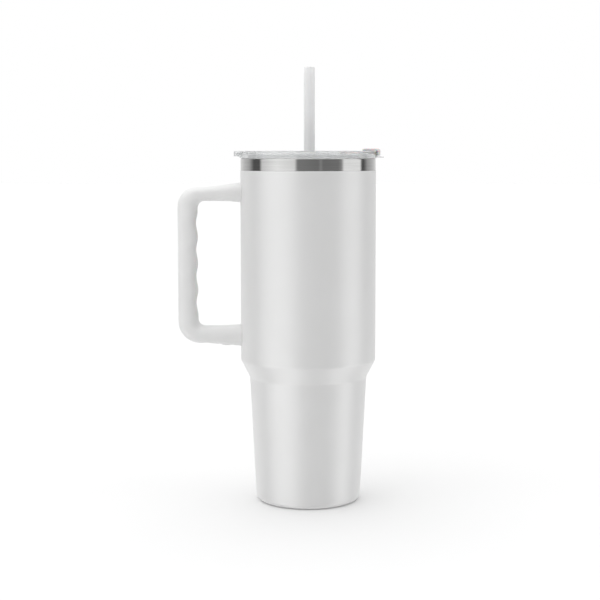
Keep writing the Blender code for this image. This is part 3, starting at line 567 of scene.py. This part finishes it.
def slot_outline(centre_x, length, width, radius):
    x0, x1 = centre_x - length / 2, centre_x + length / 2
    y0, y1 = -width / 2, width / 2
    return rounded([(x0, y0, radius), (x1, y0, radius), (x1, y1, radius), (x0, y1, radius)], closed=True)


# Mesh code ------------------------------------------------


def piece(name, bm, material=None):
    """A shaded object from bm. One with no material is a helper."""
    bmesh.ops.recalc_face_normals(bm, faces=bm.faces)
    mesh = bpy.data.meshes.new(name)
    bm.to_mesh(mesh)
    bm.free()
    mesh.shade_smooth()
    mesh.set_sharp_from_angle(angle=SHARP_ANGLE)
    made = bpy.data.objects.new(name, mesh)
    bpy.context.scene.collection.objects.link(made)
    if material:
        mesh.materials.append(material)
    return made


def flat_faced(made):
    """Keeps the shading of large flat faces flat, up to their softened edges."""
    even = made.modifiers.new("even_normals", "WEIGHTED_NORMAL")
    even.keep_sharp = True
    even.weight = 100
    return made


def turned(name, outline, material=None, segments=SEGMENTS, centre=(0, 0, 0)):
    """A closed outline of (radius, z) points turned about Z through centre."""
    bm = bmesh.new()
    rings = []
    for point in outline:
        if point.x < ON_AXIS:
            rings.append([bm.verts.new((centre[0], centre[1], centre[2] + point.y))])
            continue
        ring = []
        for i in range(segments):
            angle = 2 * math.pi * i / segments
            ring.append(bm.verts.new((
                centre[0] + point.x * math.cos(angle),
                centre[1] + point.x * math.sin(angle),
                centre[2] + point.y,
            )))
        rings.append(ring)
    for one, two in zip(rings, rings[1:] + rings[:1]):
        for i in range(segments):
            after = i + 1
            corners = [one[i % len(one)], one[after % len(one)], two[after % len(two)], two[i % len(two)]]
            face = list(dict.fromkeys(corners))
            if len(face) > 2:
                bm.faces.new(face)
    return piece(name, bm, material)


def disc_outline(radius, low, high, softening):
    return rounded([(0, low, 0), (radius, low, softening), (radius, high, softening), (0, high, 0)])


def prism(name, outline, low, high, plane="XY", material=None, softening=0.0):
    """A closed outline extruded square to its plane, with its edges softened."""
    place = {"XY": lambda a, b, c: (a, b, c), "XZ": lambda a, b, c: (a, c, b)}[plane]
    bm = bmesh.new()
    face = bm.faces.new([bm.verts.new(place(p[0], p[1], low)) for p in outline])
    grown = bmesh.ops.extrude_face_region(bm, geom=[face])
    top = [item for item in grown["geom"] if isinstance(item, bmesh.types.BMVert)]
    bmesh.ops.translate(bm, verts=top, vec=place(0, 0, high - low))
    if softening:
        normal = Vector(place(0, 0, 1))
        bmesh.ops.recalc_face_normals(bm, faces=bm.faces)
        ends = {f for f in bm.faces if abs(f.normal.dot(normal)) > END_FACING}
        edges = [e for e in bm.edges if len(ends.intersection(e.link_faces)) == 1]
        bmesh.ops.bevel(
            bm, geom=edges, offset=softening, segments=SOFTENING_STEPS, profile=0.5, affect="EDGES"
        )
    return piece(name, bm, material)


def block(name, low, high):
    outline = [(low[0], low[1]), (high[0], low[1]), (high[0], high[1]), (low[0], high[1])]
    return prism(name, outline, low[2], high[2])


def rod(name, radius, start, end, softening=0.0, material=None, segments=SMALL_SEGMENTS):
    """A round bar between two points, with softened ends."""
    start, end = Vector(start), Vector(end)
    made = turned(name, disc_outline(radius, 0, (end - start).length, softening), material, segments)
    turn = (end - start).to_track_quat("Z", "Y").to_matrix().to_4x4()
    made.data.transform(Matrix.Translation(start) @ turn)
    return made


def loft(name, sections, material=None):
    """A solid through rings of points, closed with a face at each end."""
    bm = bmesh.new()
    rings = [[bm.verts.new(p) for p in section] for section in sections]
    for one, two in zip(rings, rings[1:]):
        for i in range(len(one)):
            bm.faces.new((one[i - 1], one[i], two[i], two[i - 1]))
    bm.faces.new(rings[0])
    bm.faces.new(rings[-1])
    return piece(name, bm, material)


def close_slivers(mesh):
    """Merges the hair-thin slivers that a Boolean can leave, and closes what they leave open."""
    bm = bmesh.new()
    bm.from_mesh(mesh)
    bmesh.ops.dissolve_degenerate(bm, dist=SLIVER, edges=bm.edges)
    bmesh.ops.remove_doubles(bm, verts=bm.verts, dist=SLIVER)
    bmesh.ops.holes_fill(bm, edges=[e for e in bm.edges if len(e.link_faces) == 1])
    bm.to_mesh(mesh)
    bm.free()


def shape(target, *steps):
    """Applies Booleans, given as (operation, helpers...) in turn, and deletes the helpers."""
    for operation, *helpers in steps:
        for helper in helpers:
            modifier = target.modifiers.new(helper.name, "BOOLEAN")
            modifier.operation = operation
            modifier.object = helper
            modifier.solver = "EXACT"
    seen = bpy.context.evaluated_depsgraph_get()
    finished = bpy.data.meshes.new_from_object(target.evaluated_get(seen))
    target.modifiers.clear()
    target.data = finished
    close_slivers(finished)
    finished.shade_smooth()
    finished.set_sharp_from_angle(angle=SHARP_ANGLE)
    for _, *helpers in steps:
        for helper in helpers:
            bpy.data.objects.remove(helper, do_unlink=True)
    return target


def settle(made, body, slot, *nodes):
    """Rides the piece on its body and hides the CAD nodes that it stands for. slot is not used."""
    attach(made, body)
    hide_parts(*nodes)
    return made


# Cup body -------------------------------------------------


def outside_path():
    return rounded([
        (body_radius, band_bottom, 0),
        (body_radius, SHOULDER_HEIGHT, SHOULDER_ROUND),
        (waist_radius, waist_z, WAIST_ROUND),
        (base_radius, foot_z, BASE_ROUND),
        (recess_radius, foot_z, RECESS_ROUND),
        (recess_radius, recess_z, 0),
    ])


def make_painted_body():
    """The shell and its base cup, one skin of paint from the bare band to the recess of the pad."""
    outline = sheet_outline(outside_path(), -SHELL_WALL)
    outline[0] = outline[0] - Vector((COAT_EDGE, 0))
    outline.insert(1, Vector((body_radius, band_bottom - COAT_EDGE)))
    made = turned("painted_body", outline, coat)
    settle(made, "cup", "powder_coat", "outer_shell")
    pressed = rounded([
        (recess_radius - SKIN, recess_z + SKIN, 0),
        (DIMPLE_RADIUS, recess_z + SKIN, DIMPLE_ROUND),
        (DIMPLE_RADIUS, recess_z + DIMPLE_RISE, DIMPLE_ROUND),
        (PORT_RADIUS, recess_z + DIMPLE_RISE, 0),
    ])
    plate = turned("base_plate", sheet_outline(pressed, -SHELL_WALL), coat)
    settle(plate, "cup", "powder_coat", "base_cup")


def make_liner():
    """The bare steel inside, rolled over at the mouth into the band, with rings pressed in its floor."""
    wall = mouth_radius
    inset = body_radius - wall
    outside = offset([Vector(corner) for corner in (
        (body_radius, band_bottom),
        (body_radius, SHOULDER_HEIGHT),
        (waist_radius, waist_z),
        (base_radius, foot_z),
    )], -inset)
    waist, foot = outside[2], outside[3]
    slope = (waist.x - foot.x) / (waist.y - foot.y)
    floor_radius = waist.x - slope * (waist.y - liner_floor)
    path = [
        (band_radius, band_bottom + SKIN, 0),
        (band_radius, rim_z, LIP_ROUND),
        (wall, rim_z, LIP_ROUND),
        (wall, outside[1].y, SHOULDER_ROUND),
        (waist.x, waist.y, SHOULDER_ROUND),
        (floor_radius, liner_floor, FLOOR_ROUND),
    ]
    for radius in sorted(SPUN_RING_RADII, reverse=True):
        ring = radius * MM
        path.append((ring + SPUN_RING_WIDTH, liner_floor, SPUN_RING_WIDTH))
        path.append((ring, liner_floor + SPUN_RING_DEPTH, SPUN_RING_WIDTH))
        path.append((ring - SPUN_RING_WIDTH, liner_floor, SPUN_RING_WIDTH))
    path.append((0, liner_floor, 0))
    made = turned("steel_liner", sheet_outline(rounded(path), LINER_WALL), steel)
    settle(made, "cup", "brushed_steel", "inner_liner")


def make_pad():
    """The rubber pad: a flat sole with two shallow moulded grooves."""
    width = PAD_GROOVE_WIDTH
    corners = [(0, pad_low.z, 0)]
    for share in PAD_GROOVES:
        at = share * pad_radius
        corners.append((at - width, pad_low.z, width / 4))
        corners.append((at - width / 2, pad_low.z + PAD_GROOVE_DEPTH, width / 4))
        corners.append((at + width / 2, pad_low.z + PAD_GROOVE_DEPTH, width / 4))
        corners.append((at + width, pad_low.z, width / 4))
    corners += [(pad_radius, pad_low.z, PAD_ROUND), (pad_radius, pad_high.z, 0), (0, pad_high.z, 0)]
    settle(turned("foot_pad", rounded(corners), pad_rubber), "cup", "pad_rubber", "base_pad")


# Handle ---------------------------------------------------


def arm_stations(level, inner_level, flare, up):
    root = -(body_radius - ROOT_INSET)
    tip = bar_x + INNER_ROUND
    stations = []
    for i in range(ARM_STATIONS):
        share = 1 - i / ARM_STATIONS
        x = tip + (root - tip) * share
        outer = (x, level + up * flare * share**FLARE_POWER)
        inner = (x, inner_level - up * INNER_FLARE * share**INNER_FLARE_POWER)
        stations.append((outer, inner))
    return stations


def corner_stations(outer_z, outer_round, inner_z, up):
    steps = math.ceil(math.pi / 2 / (ARC_STEP / 2))
    stations = []
    for step in range(steps + 1):
        angle = math.pi / 2 * (1 + step / steps)
        across, along = math.cos(angle), up * math.sin(angle)
        outer = (handle_x + outer_round * (1 + across), outer_z + outer_round * (along - up))
        inner = (bar_x + INNER_ROUND * (1 + across), inner_z + INNER_ROUND * (along - up))
        stations.append((outer, inner))
    return stations


def groove(z):
    """How far the inner side of the bar dips at this height."""
    share = (grip_high.z - z) / (grip_high.z - grip_low.z)
    if not 0 < share < 1:
        return 0.0
    return GROOVE_DEPTH * (1 - math.cos(2 * math.pi * GROOVE_COUNT * share)) / 2


def bar_stations():
    count = GROOVE_COUNT * STATIONS_PER_GROOVE
    stations = []
    for i in range(count + 1):
        z = grip_high.z + (grip_low.z - grip_high.z) * i / count
        stations.append(((handle_x, z), (bar_x - groove(z), z)))
    return stations


def section_between(outer, inner):
    outer = Vector((outer[0], 0, outer[1]))
    inner = Vector((inner[0], 0, inner[1]))
    middle = (outer + inner) / 2
    deep = (outer - inner) / 2
    points = []
    for i in range(SECTION_POINTS):
        angle = 2 * math.pi * i / SECTION_POINTS
        a, b = math.cos(angle), math.sin(angle)
        a = math.copysign(abs(a) ** (2 / SECTION_POWER), a)
        b = math.copysign(abs(b) ** (2 / SECTION_POWER), b)
        points.append(middle + deep * a + Vector((0, handle_half_width * b, 0)))
    return points


def pockets(which):
    """Blocks for the room that an arm leaves for its bracket's tongue and foot, and for its weld nut."""
    low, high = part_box(f"{which}_bracket")
    nut_low, nut_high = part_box(f"{which}_weld_nut")
    screw_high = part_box(f"{which}_screw")[1]
    gap = Vector((POCKET_GAP, POCKET_GAP, POCKET_GAP))
    inside = -body_radius + OVERLAP
    tongue_half = BRACKET_WIDTH / 2 + POCKET_GAP
    tongue_low = nut_low.z - POCKET_GAP - BRACKET_WALL - POCKET_GAP
    tongue_corner = (low.x - POCKET_GAP, -tongue_half, tongue_low)
    tongue = block(f"{which}_tongue_room", tongue_corner, (inside, tongue_half, nut_low.z))
    channel_low = (nut_low.x - POCKET_GAP, nut_low.y - POCKET_GAP, nut_low.z - POCKET_GAP)
    channel_high = (inside, nut_high.y + POCKET_GAP, screw_high.z + POCKET_GAP)
    channel = block(f"{which}_nut_channel", channel_low, channel_high)
    foot_x = -body_radius - BRACKET_WALL - 2 * POCKET_GAP
    foot = block(f"{which}_foot_room", (foot_x, low.y - POCKET_GAP, low.z - POCKET_GAP), high + gap)
    return [tongue, channel, foot]


def make_handle():
    """The moulded handle, its pockets for the fixings, and the screw plugs in its undersides."""
    upper = arm_stations(handle_top, upper_inner, UPPER_FLARE, 1)
    upper += corner_stations(handle_top, UPPER_OUTER_ROUND, upper_inner, 1)
    lower = arm_stations(handle_bottom, lower_inner, LOWER_FLARE, -1)
    lower += corner_stations(handle_bottom, LOWER_OUTER_ROUND, lower_inner, -1)
    stations = upper + bar_stations() + lower[::-1]
    made = loft("handle_shell", [section_between(*s) for s in stations], handle_white)
    body = turned("body_curve", disc_outline(body_radius + SKIN, SHOULDER_HEIGHT, rim_z, 0))
    depth = grip_low.x - SKIN
    half = grip_high.y + SKIN
    recess_outline = rounded([
        (-half, grip_low.z - SKIN, GRIP_ROUND), (half, grip_low.z - SKIN, GRIP_ROUND),
        (half, grip_high.z + SKIN, GRIP_ROUND), (-half, grip_high.z + SKIN, GRIP_ROUND),
    ], closed=True)
    recess = prism("grip_recess", recess_outline, 0, BAR_DEPTH)
    recess.data.transform(Matrix(((0, 0, 1, depth), (1, 0, 0, 0), (0, 1, 0, 0), (0, 0, 0, 1))))
    cutters = [body, recess]
    for which in ("upper", "lower"):
        plug_low, plug_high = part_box(f"{which}_screw_plug")
        screw_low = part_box(f"{which}_screw")[0]
        x = (plug_low.x + plug_high.x) / 2
        bore = (plug_high.x - plug_low.x) / 2 + SKIN
        bore_top = screw_low.z + SCREW_HEAD_HEIGHT + POCKET_GAP
        cutters.append(rod(f"{which}_bore", bore, (x, 0, plug_low.z - BORE_RUN), (x, 0, bore_top)))
        cutters += pockets(which)
        cap = disc_outline(bore - 2 * SKIN, plug_low.z, plug_high.z, PLUG_SOFTENING)
        plug = turned(f"{which}_plug_cap", cap, handle_white, SMALL_SEGMENTS, (x, 0, 0))
        settle(plug, "cup", "handle_plastic", f"{which}_screw_plug")
    shape(made, ("DIFFERENCE", *cutters))
    settle(made, "cup", "handle_plastic", "handle_core")


def make_grip():
    """The soft insert on the inner side of the bar, with four finger grooves."""
    half = grip_high.y
    mid_z = (grip_low.z + grip_high.z) / 2
    half_z = (grip_high.z - grip_low.z) / 2

    def edge_distance(y, z):
        """Distance in from the insert's rounded outline."""
        a, b = abs(y) - (half - GRIP_ROUND), abs(z - mid_z) - (half_z - GRIP_ROUND)
        return GRIP_ROUND - math.hypot(max(a, 0), max(b, 0)) - min(max(a, b), 0)

    def face_x(y, z):
        inner = bar_x - groove(z)
        reach = (1 - (abs(y) / handle_half_width) ** SECTION_POWER) ** (1 / SECTION_POWER)
        x = (handle_x + inner) / 2 + (inner - handle_x) / 2 * reach
        into = GRIP_EDGE - min(max(edge_distance(y, z), 0), GRIP_EDGE)
        return x - (GRIP_EDGE - math.sqrt(GRIP_EDGE**2 - into**2))

    def on_outline(u, v):
        """A point of the square -1..1, drawn in to the rounded outline."""
        y, z = u * half, v * half_z
        a, b = abs(y) - (half - GRIP_ROUND), abs(z) - (half_z - GRIP_ROUND)
        if a > 0 and b > 0:
            shrink = max(a, b) / math.hypot(a, b)
            y = math.copysign(half - GRIP_ROUND + a * shrink, y)
            z = math.copysign(half_z - GRIP_ROUND + b * shrink, z)
        return y, mid_z + z

    def spaced(count, size):
        """Even steps over -1..1, with finer ones over the rounded edge."""
        edge = GRIP_EDGE / size
        fine = [edge * (1 - math.cos(math.pi / 2 * i / GRIP_EDGE_ROWS)) for i in range(GRIP_EDGE_ROWS)]
        inner = [edge + (2 - 2 * edge) * i / count for i in range(count + 1)]
        return [-1 + t for t in fine + inner] + [1 - t for t in reversed(fine)]

    bm = bmesh.new()
    us, vs = spaced(GRIP_COLUMNS, half), spaced(GRIP_ROWS, half_z)
    front, back = [], []
    for v in vs:
        row = [on_outline(u, v) for u in us]
        front.append([bm.verts.new((face_x(y, z), y, z)) for y, z in row])
        back.append([bm.verts.new((grip_low.x, y, z)) for y, z in row])
    rows, columns = len(vs), len(us)
    for r in range(rows - 1):
        for c in range(columns - 1):
            bm.faces.new((front[r][c], front[r][c + 1], front[r + 1][c + 1], front[r + 1][c]))
            bm.faces.new((back[r][c], back[r + 1][c], back[r + 1][c + 1], back[r][c + 1]))
    border = [(0, c) for c in range(columns)] + [(r, columns - 1) for r in range(1, rows)]
    border += [(rows - 1, c) for c in range(columns - 2, -1, -1)] + [(r, 0) for r in range(rows - 2, 0, -1)]
    for (r0, c0), (r1, c1) in zip(border, border[1:] + border[:1]):
        bm.faces.new((front[r0][c0], front[r1][c1], back[r1][c1], back[r0][c0]))
    settle(piece("grip_pad", bm, grip_white), "cup", "grip_rubber", "grip_insert")


# Lid ------------------------------------------------------


def lid_outline():
    skirt_inner = flange_radius - FLANGE_SKIRT
    groove_low, groove_high = gasket_low.z - GASKET_GAP, gasket_high.z + GASKET_GAP
    groove_radius = plug_radius - GASKET_DEPTH
    fine = FLANGE_ROUND / 3
    return rounded([
        (0, deck_bottom, 0),
        (well_radius, deck_bottom, FLANGE_ROUND),
        (well_radius, plug_bottom, fine),
        (plug_radius, plug_bottom, FLANGE_ROUND),
        (plug_radius, groove_low, fine),
        (groove_radius, groove_low, fine),
        (groove_radius, groove_high, fine),
        (plug_radius, groove_high, fine),
        (plug_radius, lid_top - FLANGE_WEB, FLANGE_ROUND),
        (skirt_inner, lid_top - FLANGE_WEB, FLANGE_ROUND),
        (skirt_inner, rim_z + SKIN, fine),
        (flange_radius, rim_z + SKIN, fine),
        (flange_radius, lid_top, FLANGE_ROUND),
        (well_radius, lid_top, FLANGE_ROUND),
        (well_radius, deck_top, FLANGE_ROUND),
        (0, deck_top, 0),
    ])


def lift_tab():
    """The hook over the handle, with two ribs under it."""
    root = flange_radius - FLANGE_SKIRT / 2
    tip = -lid_low.x
    outline = rounded([
        (-root, lid_top, 0),
        (-tip, lid_top, TAB_WALL / 2),
        (-tip, lid_top - TAB_DROP, TAB_WALL / 3),
        (-tip + TAB_WALL, lid_top - TAB_DROP, TAB_WALL / 3),
        (-tip + TAB_WALL, lid_top - TAB_WALL, TAB_WALL / 3),
        (-root, lid_top - TAB_WALL, 0),
    ], closed=True)
    tab = prism("tab", outline, -TAB_WIDTH / 2, TAB_WIDTH / 2, "XZ", softening=EDGE_SOFTENING)
    rib_outline = [
        (-root, lid_top - TAB_WALL / 2),
        (-tip + TAB_WALL / 2, lid_top - TAB_WALL / 2),
        (-tip + TAB_WALL / 2, lid_top - TAB_DROP * RIB_DEPTH_SHARE),
        (-root, rim_z + SKIN + RIB_LIFT),
    ]
    ribs = [
        prism(f"rib_{i}", rib_outline, y - TAB_RIB / 2, y + TAB_RIB / 2, "XZ")
        for i, y in enumerate((-TAB_WIDTH * RIB_PLACE_SHARE, TAB_WIDTH * RIB_PLACE_SHARE))
    ]
    return [tab, *ribs]


def thin_lip():
    root = flange_radius - FLANGE_SKIRT / 2
    low = rim_z + LIP_LIFT
    outline = [
        (root, low),
        (lid_high.x, low),
        (lid_high.x, low + LIP_TIP),
        (flange_radius, low + LIP_THICKNESS),
        (root, low + LIP_THICKNESS),
    ]
    return prism("lip", outline, -LIP_WIDTH / 2, LIP_WIDTH / 2, "XZ", softening=LIP_SOFTENING)


def hinge_ears(inside, near):
    """The two ears that hold the pin. near is how far off the middle each one starts."""
    top = lid_top - EAR_SINK
    outline = rounded([
        (hinge.x - EAR_ROUND, inside, 0),
        (hinge.x + EAR_ROUND, inside, 0),
        (hinge.x + EAR_ROUND, top, EAR_ROUND * EAR_ROUND_SHARE),
        (hinge.x - EAR_ROUND, top, EAR_ROUND * EAR_ROUND_SHARE),
    ], closed=True)
    return [
        prism(f"ear_{i}", outline, low, low + EAR_WALL, "XZ", softening=EDGE_SOFTENING)
        for i, low in enumerate((-near - EAR_WALL, near))
    ]


def make_clear_lid():
    """The clear moulding: flange and skirt, plug, deck, straw boss, sip rim, hinge ears, tab and lip."""
    made = turned("clear_lid", lid_outline(), clear)
    inside = deck_top - DECK_THICKNESS / 2
    below, straw_axis = deck_bottom - OVERLAP, (straw_x, 0, 0)
    boss_outline = disc_outline(boss_bore + BOSS_WALL, inside, deck_top + BOSS_RISE, BOSS_SOFTENING)
    boss = turned("boss", boss_outline, None, STRAW_SEGMENTS, straw_axis)
    rim = slot_outline(sip_x, SIP_LENGTH + 2 * SIP_RIM, SIP_WIDTH + 2 * SIP_RIM, SIP_ROUND + SIP_RIM)
    sip_rim = prism("sip_rim", rim, inside, deck_top + SIP_RIM_RISE, softening=SIP_SOFTENING)
    near = (flap_high.y - flap_low.y) / 2 + EAR_GAP
    grown = [boss, sip_rim, *lift_tab(), thin_lip(), *hinge_ears(inside, near)]
    straw_way = rod(
        "straw_way", boss_bore, (straw_x, 0, below), (straw_x, 0, lid_top), segments=STRAW_SEGMENTS
    )
    sip_way = prism("sip_way", slot_outline(sip_x, SIP_LENGTH, SIP_WIDTH, SIP_ROUND), below, lid_top)
    vent = rod("vent", VENT_RADIUS, (-VENT_OFFSET, 0, below), (-VENT_OFFSET, 0, deck_top + OVERLAP))
    reach = near + EAR_WALL + OVERLAP
    pin_way = rod("pin_way", PIN_RADIUS + SKIN, (hinge.x, -reach, hinge.z), (hinge.x, reach, hinge.z))
    shape(made, ("UNION", *grown), ("DIFFERENCE", straw_way, sip_way, vent, pin_way))
    settle(flat_faced(made), "lid", "clear_plastic", "lid_body")


def make_gasket():
    """The silicone ring, with two lips that lean against the liner."""
    low, high = gasket_low.z, gasket_high.z
    inner = plug_radius - GASKET_DEPTH + SKIN
    body = plug_radius + GASKET_GAP
    tip = gasket_high.x
    middle = (low + high) / 2
    outline = rounded([
        (inner, low, GASKET_EDGE),
        (body, low, GASKET_ROUND),
        (tip, low + GASKET_LIP, GASKET_EDGE),
        (tip, low + GASKET_LIP * GASKET_LOW_SHARE, GASKET_EDGE),
        (body, middle, GASKET_ROUND),
        (tip, high - GASKET_LIP, GASKET_EDGE),
        (tip, high - GASKET_LIP / 2, GASKET_EDGE),
        (body, high, GASKET_ROUND),
        (inner, high, GASKET_EDGE),
    ], closed=True)
    settle(turned("gasket_ring", outline, silicone), "lid", "silicone", "lid_gasket")


def make_spool():
    """The silicone grommet round the straw, with a soft lip above and below the deck."""
    top, bottom = spool_high.z, spool_low.z
    neck_top, neck_bottom = deck_top + BOSS_RISE + SKIN, deck_bottom - SKIN
    soft = GROMMET_SOFTENING
    outline = rounded([
        (spool_bore, bottom, soft),
        (spool_flange, bottom, soft),
        (spool_flange, neck_bottom, soft),
        (boss_bore - SKIN, neck_bottom, 0),
        (boss_bore - SKIN, neck_top, 0),
        (spool_flange, neck_top, soft),
        (spool_flange, top, soft),
        (spool_bore, top, soft),
    ], closed=True)
    spool = turned("straw_spool", outline, silicone, STRAW_SEGMENTS, (straw_x, 0, 0))
    settle(spool, "lid", "silicone", "straw_grommet")


def flap_outline():
    """The flap from the side: barrel, arm, and a hook over the lid's edge with the thumb tab on top."""
    step = math.sqrt(well_radius**2 - flap_high.y**2) - FLAP_GAP - hinge.x
    arm_top = HINGE_DROP - FLAP_SINK
    arm_low = arm_top - FLAP_ARM
    channel_top = HINGE_DROP + FLAP_GAP
    hook_inner = flange_radius + FLAP_GAP - hinge.x
    hook_outer = flap_high.x - hinge.x
    hook_low = rim_z + LIP_LIFT + LIP_THICKNESS + FLAP_GAP - hinge.z
    thumb_top = flap_high.z - hinge.z
    ramp_top = step - FLAP_WEB
    corners = [
        (-BARREL_RADIUS, -BARREL_RADIUS, BARREL_RADIUS),
        (BARREL_RADIUS, -BARREL_RADIUS, BARREL_RADIUS),
        (BARREL_RADIUS, arm_low, BARREL_CORNER),
        (step, arm_low, FLAP_CORNER),
        (step, channel_top, FLAP_CORNER),
        (hook_inner, channel_top, FLAP_CORNER),
        (hook_inner, hook_low, FLAP_CORNER),
        (hook_outer, hook_low, THUMB_ROUND / 2),
        (hook_outer, thumb_top, THUMB_ROUND),
        (ramp_top, thumb_top, THUMB_ROUND / 2),
        (ramp_top - THUMB_RAMP, arm_top, THUMB_FOOT_ROUND),
        (-BARREL_RADIUS, arm_top, BARREL_RADIUS),
    ]
    return [hinge.xz + point for point in rounded(corners, closed=True)]


def make_flap():
    """The sip flap with its hinge bore and the pocket of its seal."""
    made = prism("flap", flap_outline(), flap_low.y, flap_high.y, "XZ", flap_white, EDGE_SOFTENING)
    reach = flap_high.y + OVERLAP
    bore = rod("bore", PIN_RADIUS + SKIN, (hinge.x, -reach, hinge.z), (hinge.x, reach, hinge.z))
    low = hinge.z + HINGE_DROP - FLAP_SINK - FLAP_ARM
    pocket = prism("pocket", seal_outline(0), low - OVERLAP, low + SEAL_POCKET)
    shape(made, ("DIFFERENCE", bore, pocket))
    settle(flat_faced(made), "flap", "flap_plastic", "sip_flap")


def seal_outline(inset):
    """The outline of the seal's pocket, drawn in by inset."""
    length, width = SIP_LENGTH + 2 * SIP_RIM, SIP_WIDTH + 2 * SIP_RIM
    return slot_outline(sip_x, length - 2 * inset, width - 2 * inset, SIP_ROUND + SIP_RIM - inset)


def make_flap_seal():
    seal = prism(
        "flap_cushion", seal_outline(2 * SKIN), seal_low.z, seal_high.z,
        material=silicone, softening=SEAL_SOFTENING,
    )
    settle(flat_faced(seal), "flap", "silicone", "flap_seal")


def make_pin():
    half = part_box("hinge_pin")[1].y
    start, end = (hinge.x, -half, hinge.z), (hinge.x, half, hinge.z)
    pin = rod("pin", PIN_RADIUS, start, end, PIN_SOFTENING, fixing_steel)
    settle(pin, "lid", "fixing_steel", "hinge_pin")


def make_straw():
    """A straight tube with rounded ends."""
    inner = straw_radius - STRAW_WALL
    soft = STRAW_WALL * STRAW_END_SHARE
    outline = rounded([
        (inner, straw_low.z, soft),
        (straw_radius, straw_low.z, soft),
        (straw_radius, straw_high.z, soft),
        (inner, straw_high.z, soft),
    ], closed=True)
    tube = turned("straw_tube", outline, straw_white, STRAW_SEGMENTS, (straw_x, 0, 0))
    settle(tube, "drinking_straw", "straw_plastic", "straw")


# Studio ---------------------------------------------------


def make_floor():
    bm = bmesh.new()
    bmesh.ops.create_circle(bm, cap_ends=True, segments=FLOOR_SEGMENTS, radius=FLOOR_RADIUS)
    bmesh.ops.translate(bm, verts=bm.verts, vec=(0, 0, pad_low.z - SKIN))
    made, tree, shader = new_material("studio_floor", Roughness=0.9)
    tone = noise(tree, in_place(tree), FLOOR_CLOUD)
    surface(tree, shader, two_tone(tree, tone, FLOOR_TONE, FLOOR_TONE + FLOOR_VARIATION))
    shader.inputs["Specular IOR Level"].default_value = 0.1
    floor = piece("floor", bm, made)
    floor.visible_glossy = False


def along_horizon(tree, share, stops):
    """Radiance by bearing in degrees, from 0 towards the camera, negative on its left, round to behind."""
    return ramp(tree, share, [((bearing + 180) / 360, radiance) for bearing, radiance in stops])


def from_height(tree, z, low, high):
    """0 where a direction rises less than low degrees, 1 from high degrees up."""
    inputs = {"Value": z, "From Min": math.sin(math.radians(low)), "From Max": math.sin(math.radians(high))}
    return node(tree, "ShaderNodeMapRange", inputs, interpolation_type="SMOOTHSTEP").outputs["Result"]


def make_world():
    """A white room: two soft boxes between black flags, a ceiling, and a glow off the floor."""
    world = bpy.data.worlds.new("studio")
    bpy.context.scene.world = world
    world.use_nodes = True
    tree = world.node_tree
    direction = node(tree, "ShaderNodeTexCoord").outputs["Generated"]
    apart = node(tree, "ShaderNodeSeparateXYZ", {"Vector": direction})
    toward = math_node(tree, "MULTIPLY", apart.outputs["Y"], -1.0)
    down = math_node(tree, "MULTIPLY", apart.outputs["Z"], -1.0)
    bearing = math_node(tree, "ARCTAN2", apart.outputs["X"], toward)
    share = spread(tree, bearing, 0.0, 1.0, -math.pi, math.pi)
    ring = along_horizon(tree, share, RING)
    glow = math_node(tree, "MULTIPLY", from_height(tree, down, *GLOW_DROP), FLOOR_GLOW)
    lit = node(tree, "ShaderNodeMix", {0: 1.0, 6: ring, 7: glow}, data_type="RGBA", blend_type="ADD")
    height = from_height(tree, apart.outputs["Z"], *CEILING_RISE)
    ceiling = along_horizon(tree, share, CEILING)
    room = node(tree, "ShaderNodeMix", {0: height, 6: lit.outputs[2], 7: ceiling}, data_type="RGBA")
    seen = node(tree, "ShaderNodeLightPath").outputs["Is Camera Ray"]
    backdrop = {0: seen, 6: room.outputs[2], 7: (1.0, 1.0, 1.0, 1.0)}
    final = node(tree, "ShaderNodeMix", backdrop, data_type="RGBA")
    background = tree.nodes["Background"]
    tree.links.new(final.outputs[2], background.inputs["Color"])
    background.inputs["Strength"].default_value = 1.0


def make_camera():
    """A view from the height of the rim, pitched down a little."""
    data = bpy.data.cameras.new("camera")
    data.sensor_width = SENSOR_WIDTH
    data.lens = LENS
    data.shift_x = SHIFT_X
    data.shift_y = SHIFT_Y
    data.clip_start, data.clip_end = CLIP
    camera = bpy.data.objects.new("camera", data)
    bpy.context.scene.collection.objects.link(camera)
    camera.location = (0, -CAMERA_DISTANCE, CAMERA_HEIGHT)
    camera.rotation_euler = (math.pi / 2 - CAMERA_PITCH, 0, 0)
    bpy.context.scene.camera = camera


FIXINGS = ("bracket", "weld_nut", "screw")


def dress_carried_over():
    """Materials for the CAD nodes that stay: fixings, getter and the vacuum bead."""
    dressed = {
        fixing_steel: [f"{which}_{part}" for part in FIXINGS for which in ("upper", "lower")],
        getter_metal: ["getter", "getter_clip"],
        bead_glass: ["vacuum_bead"],
    }
    for material, names in dressed.items():
        for name in names:
            frame["nodes"][name].material_slots[0].material = material


bpy.context.scene.view_settings.view_transform = "Standard"
make_camera()
make_world()
make_floor()
make_painted_body()
make_liner()
make_pad()
make_handle()
make_grip()
make_clear_lid()
make_gasket()
make_spool()
make_flap()
make_flap_seal()
make_pin()
make_straw()
dress_carried_over()
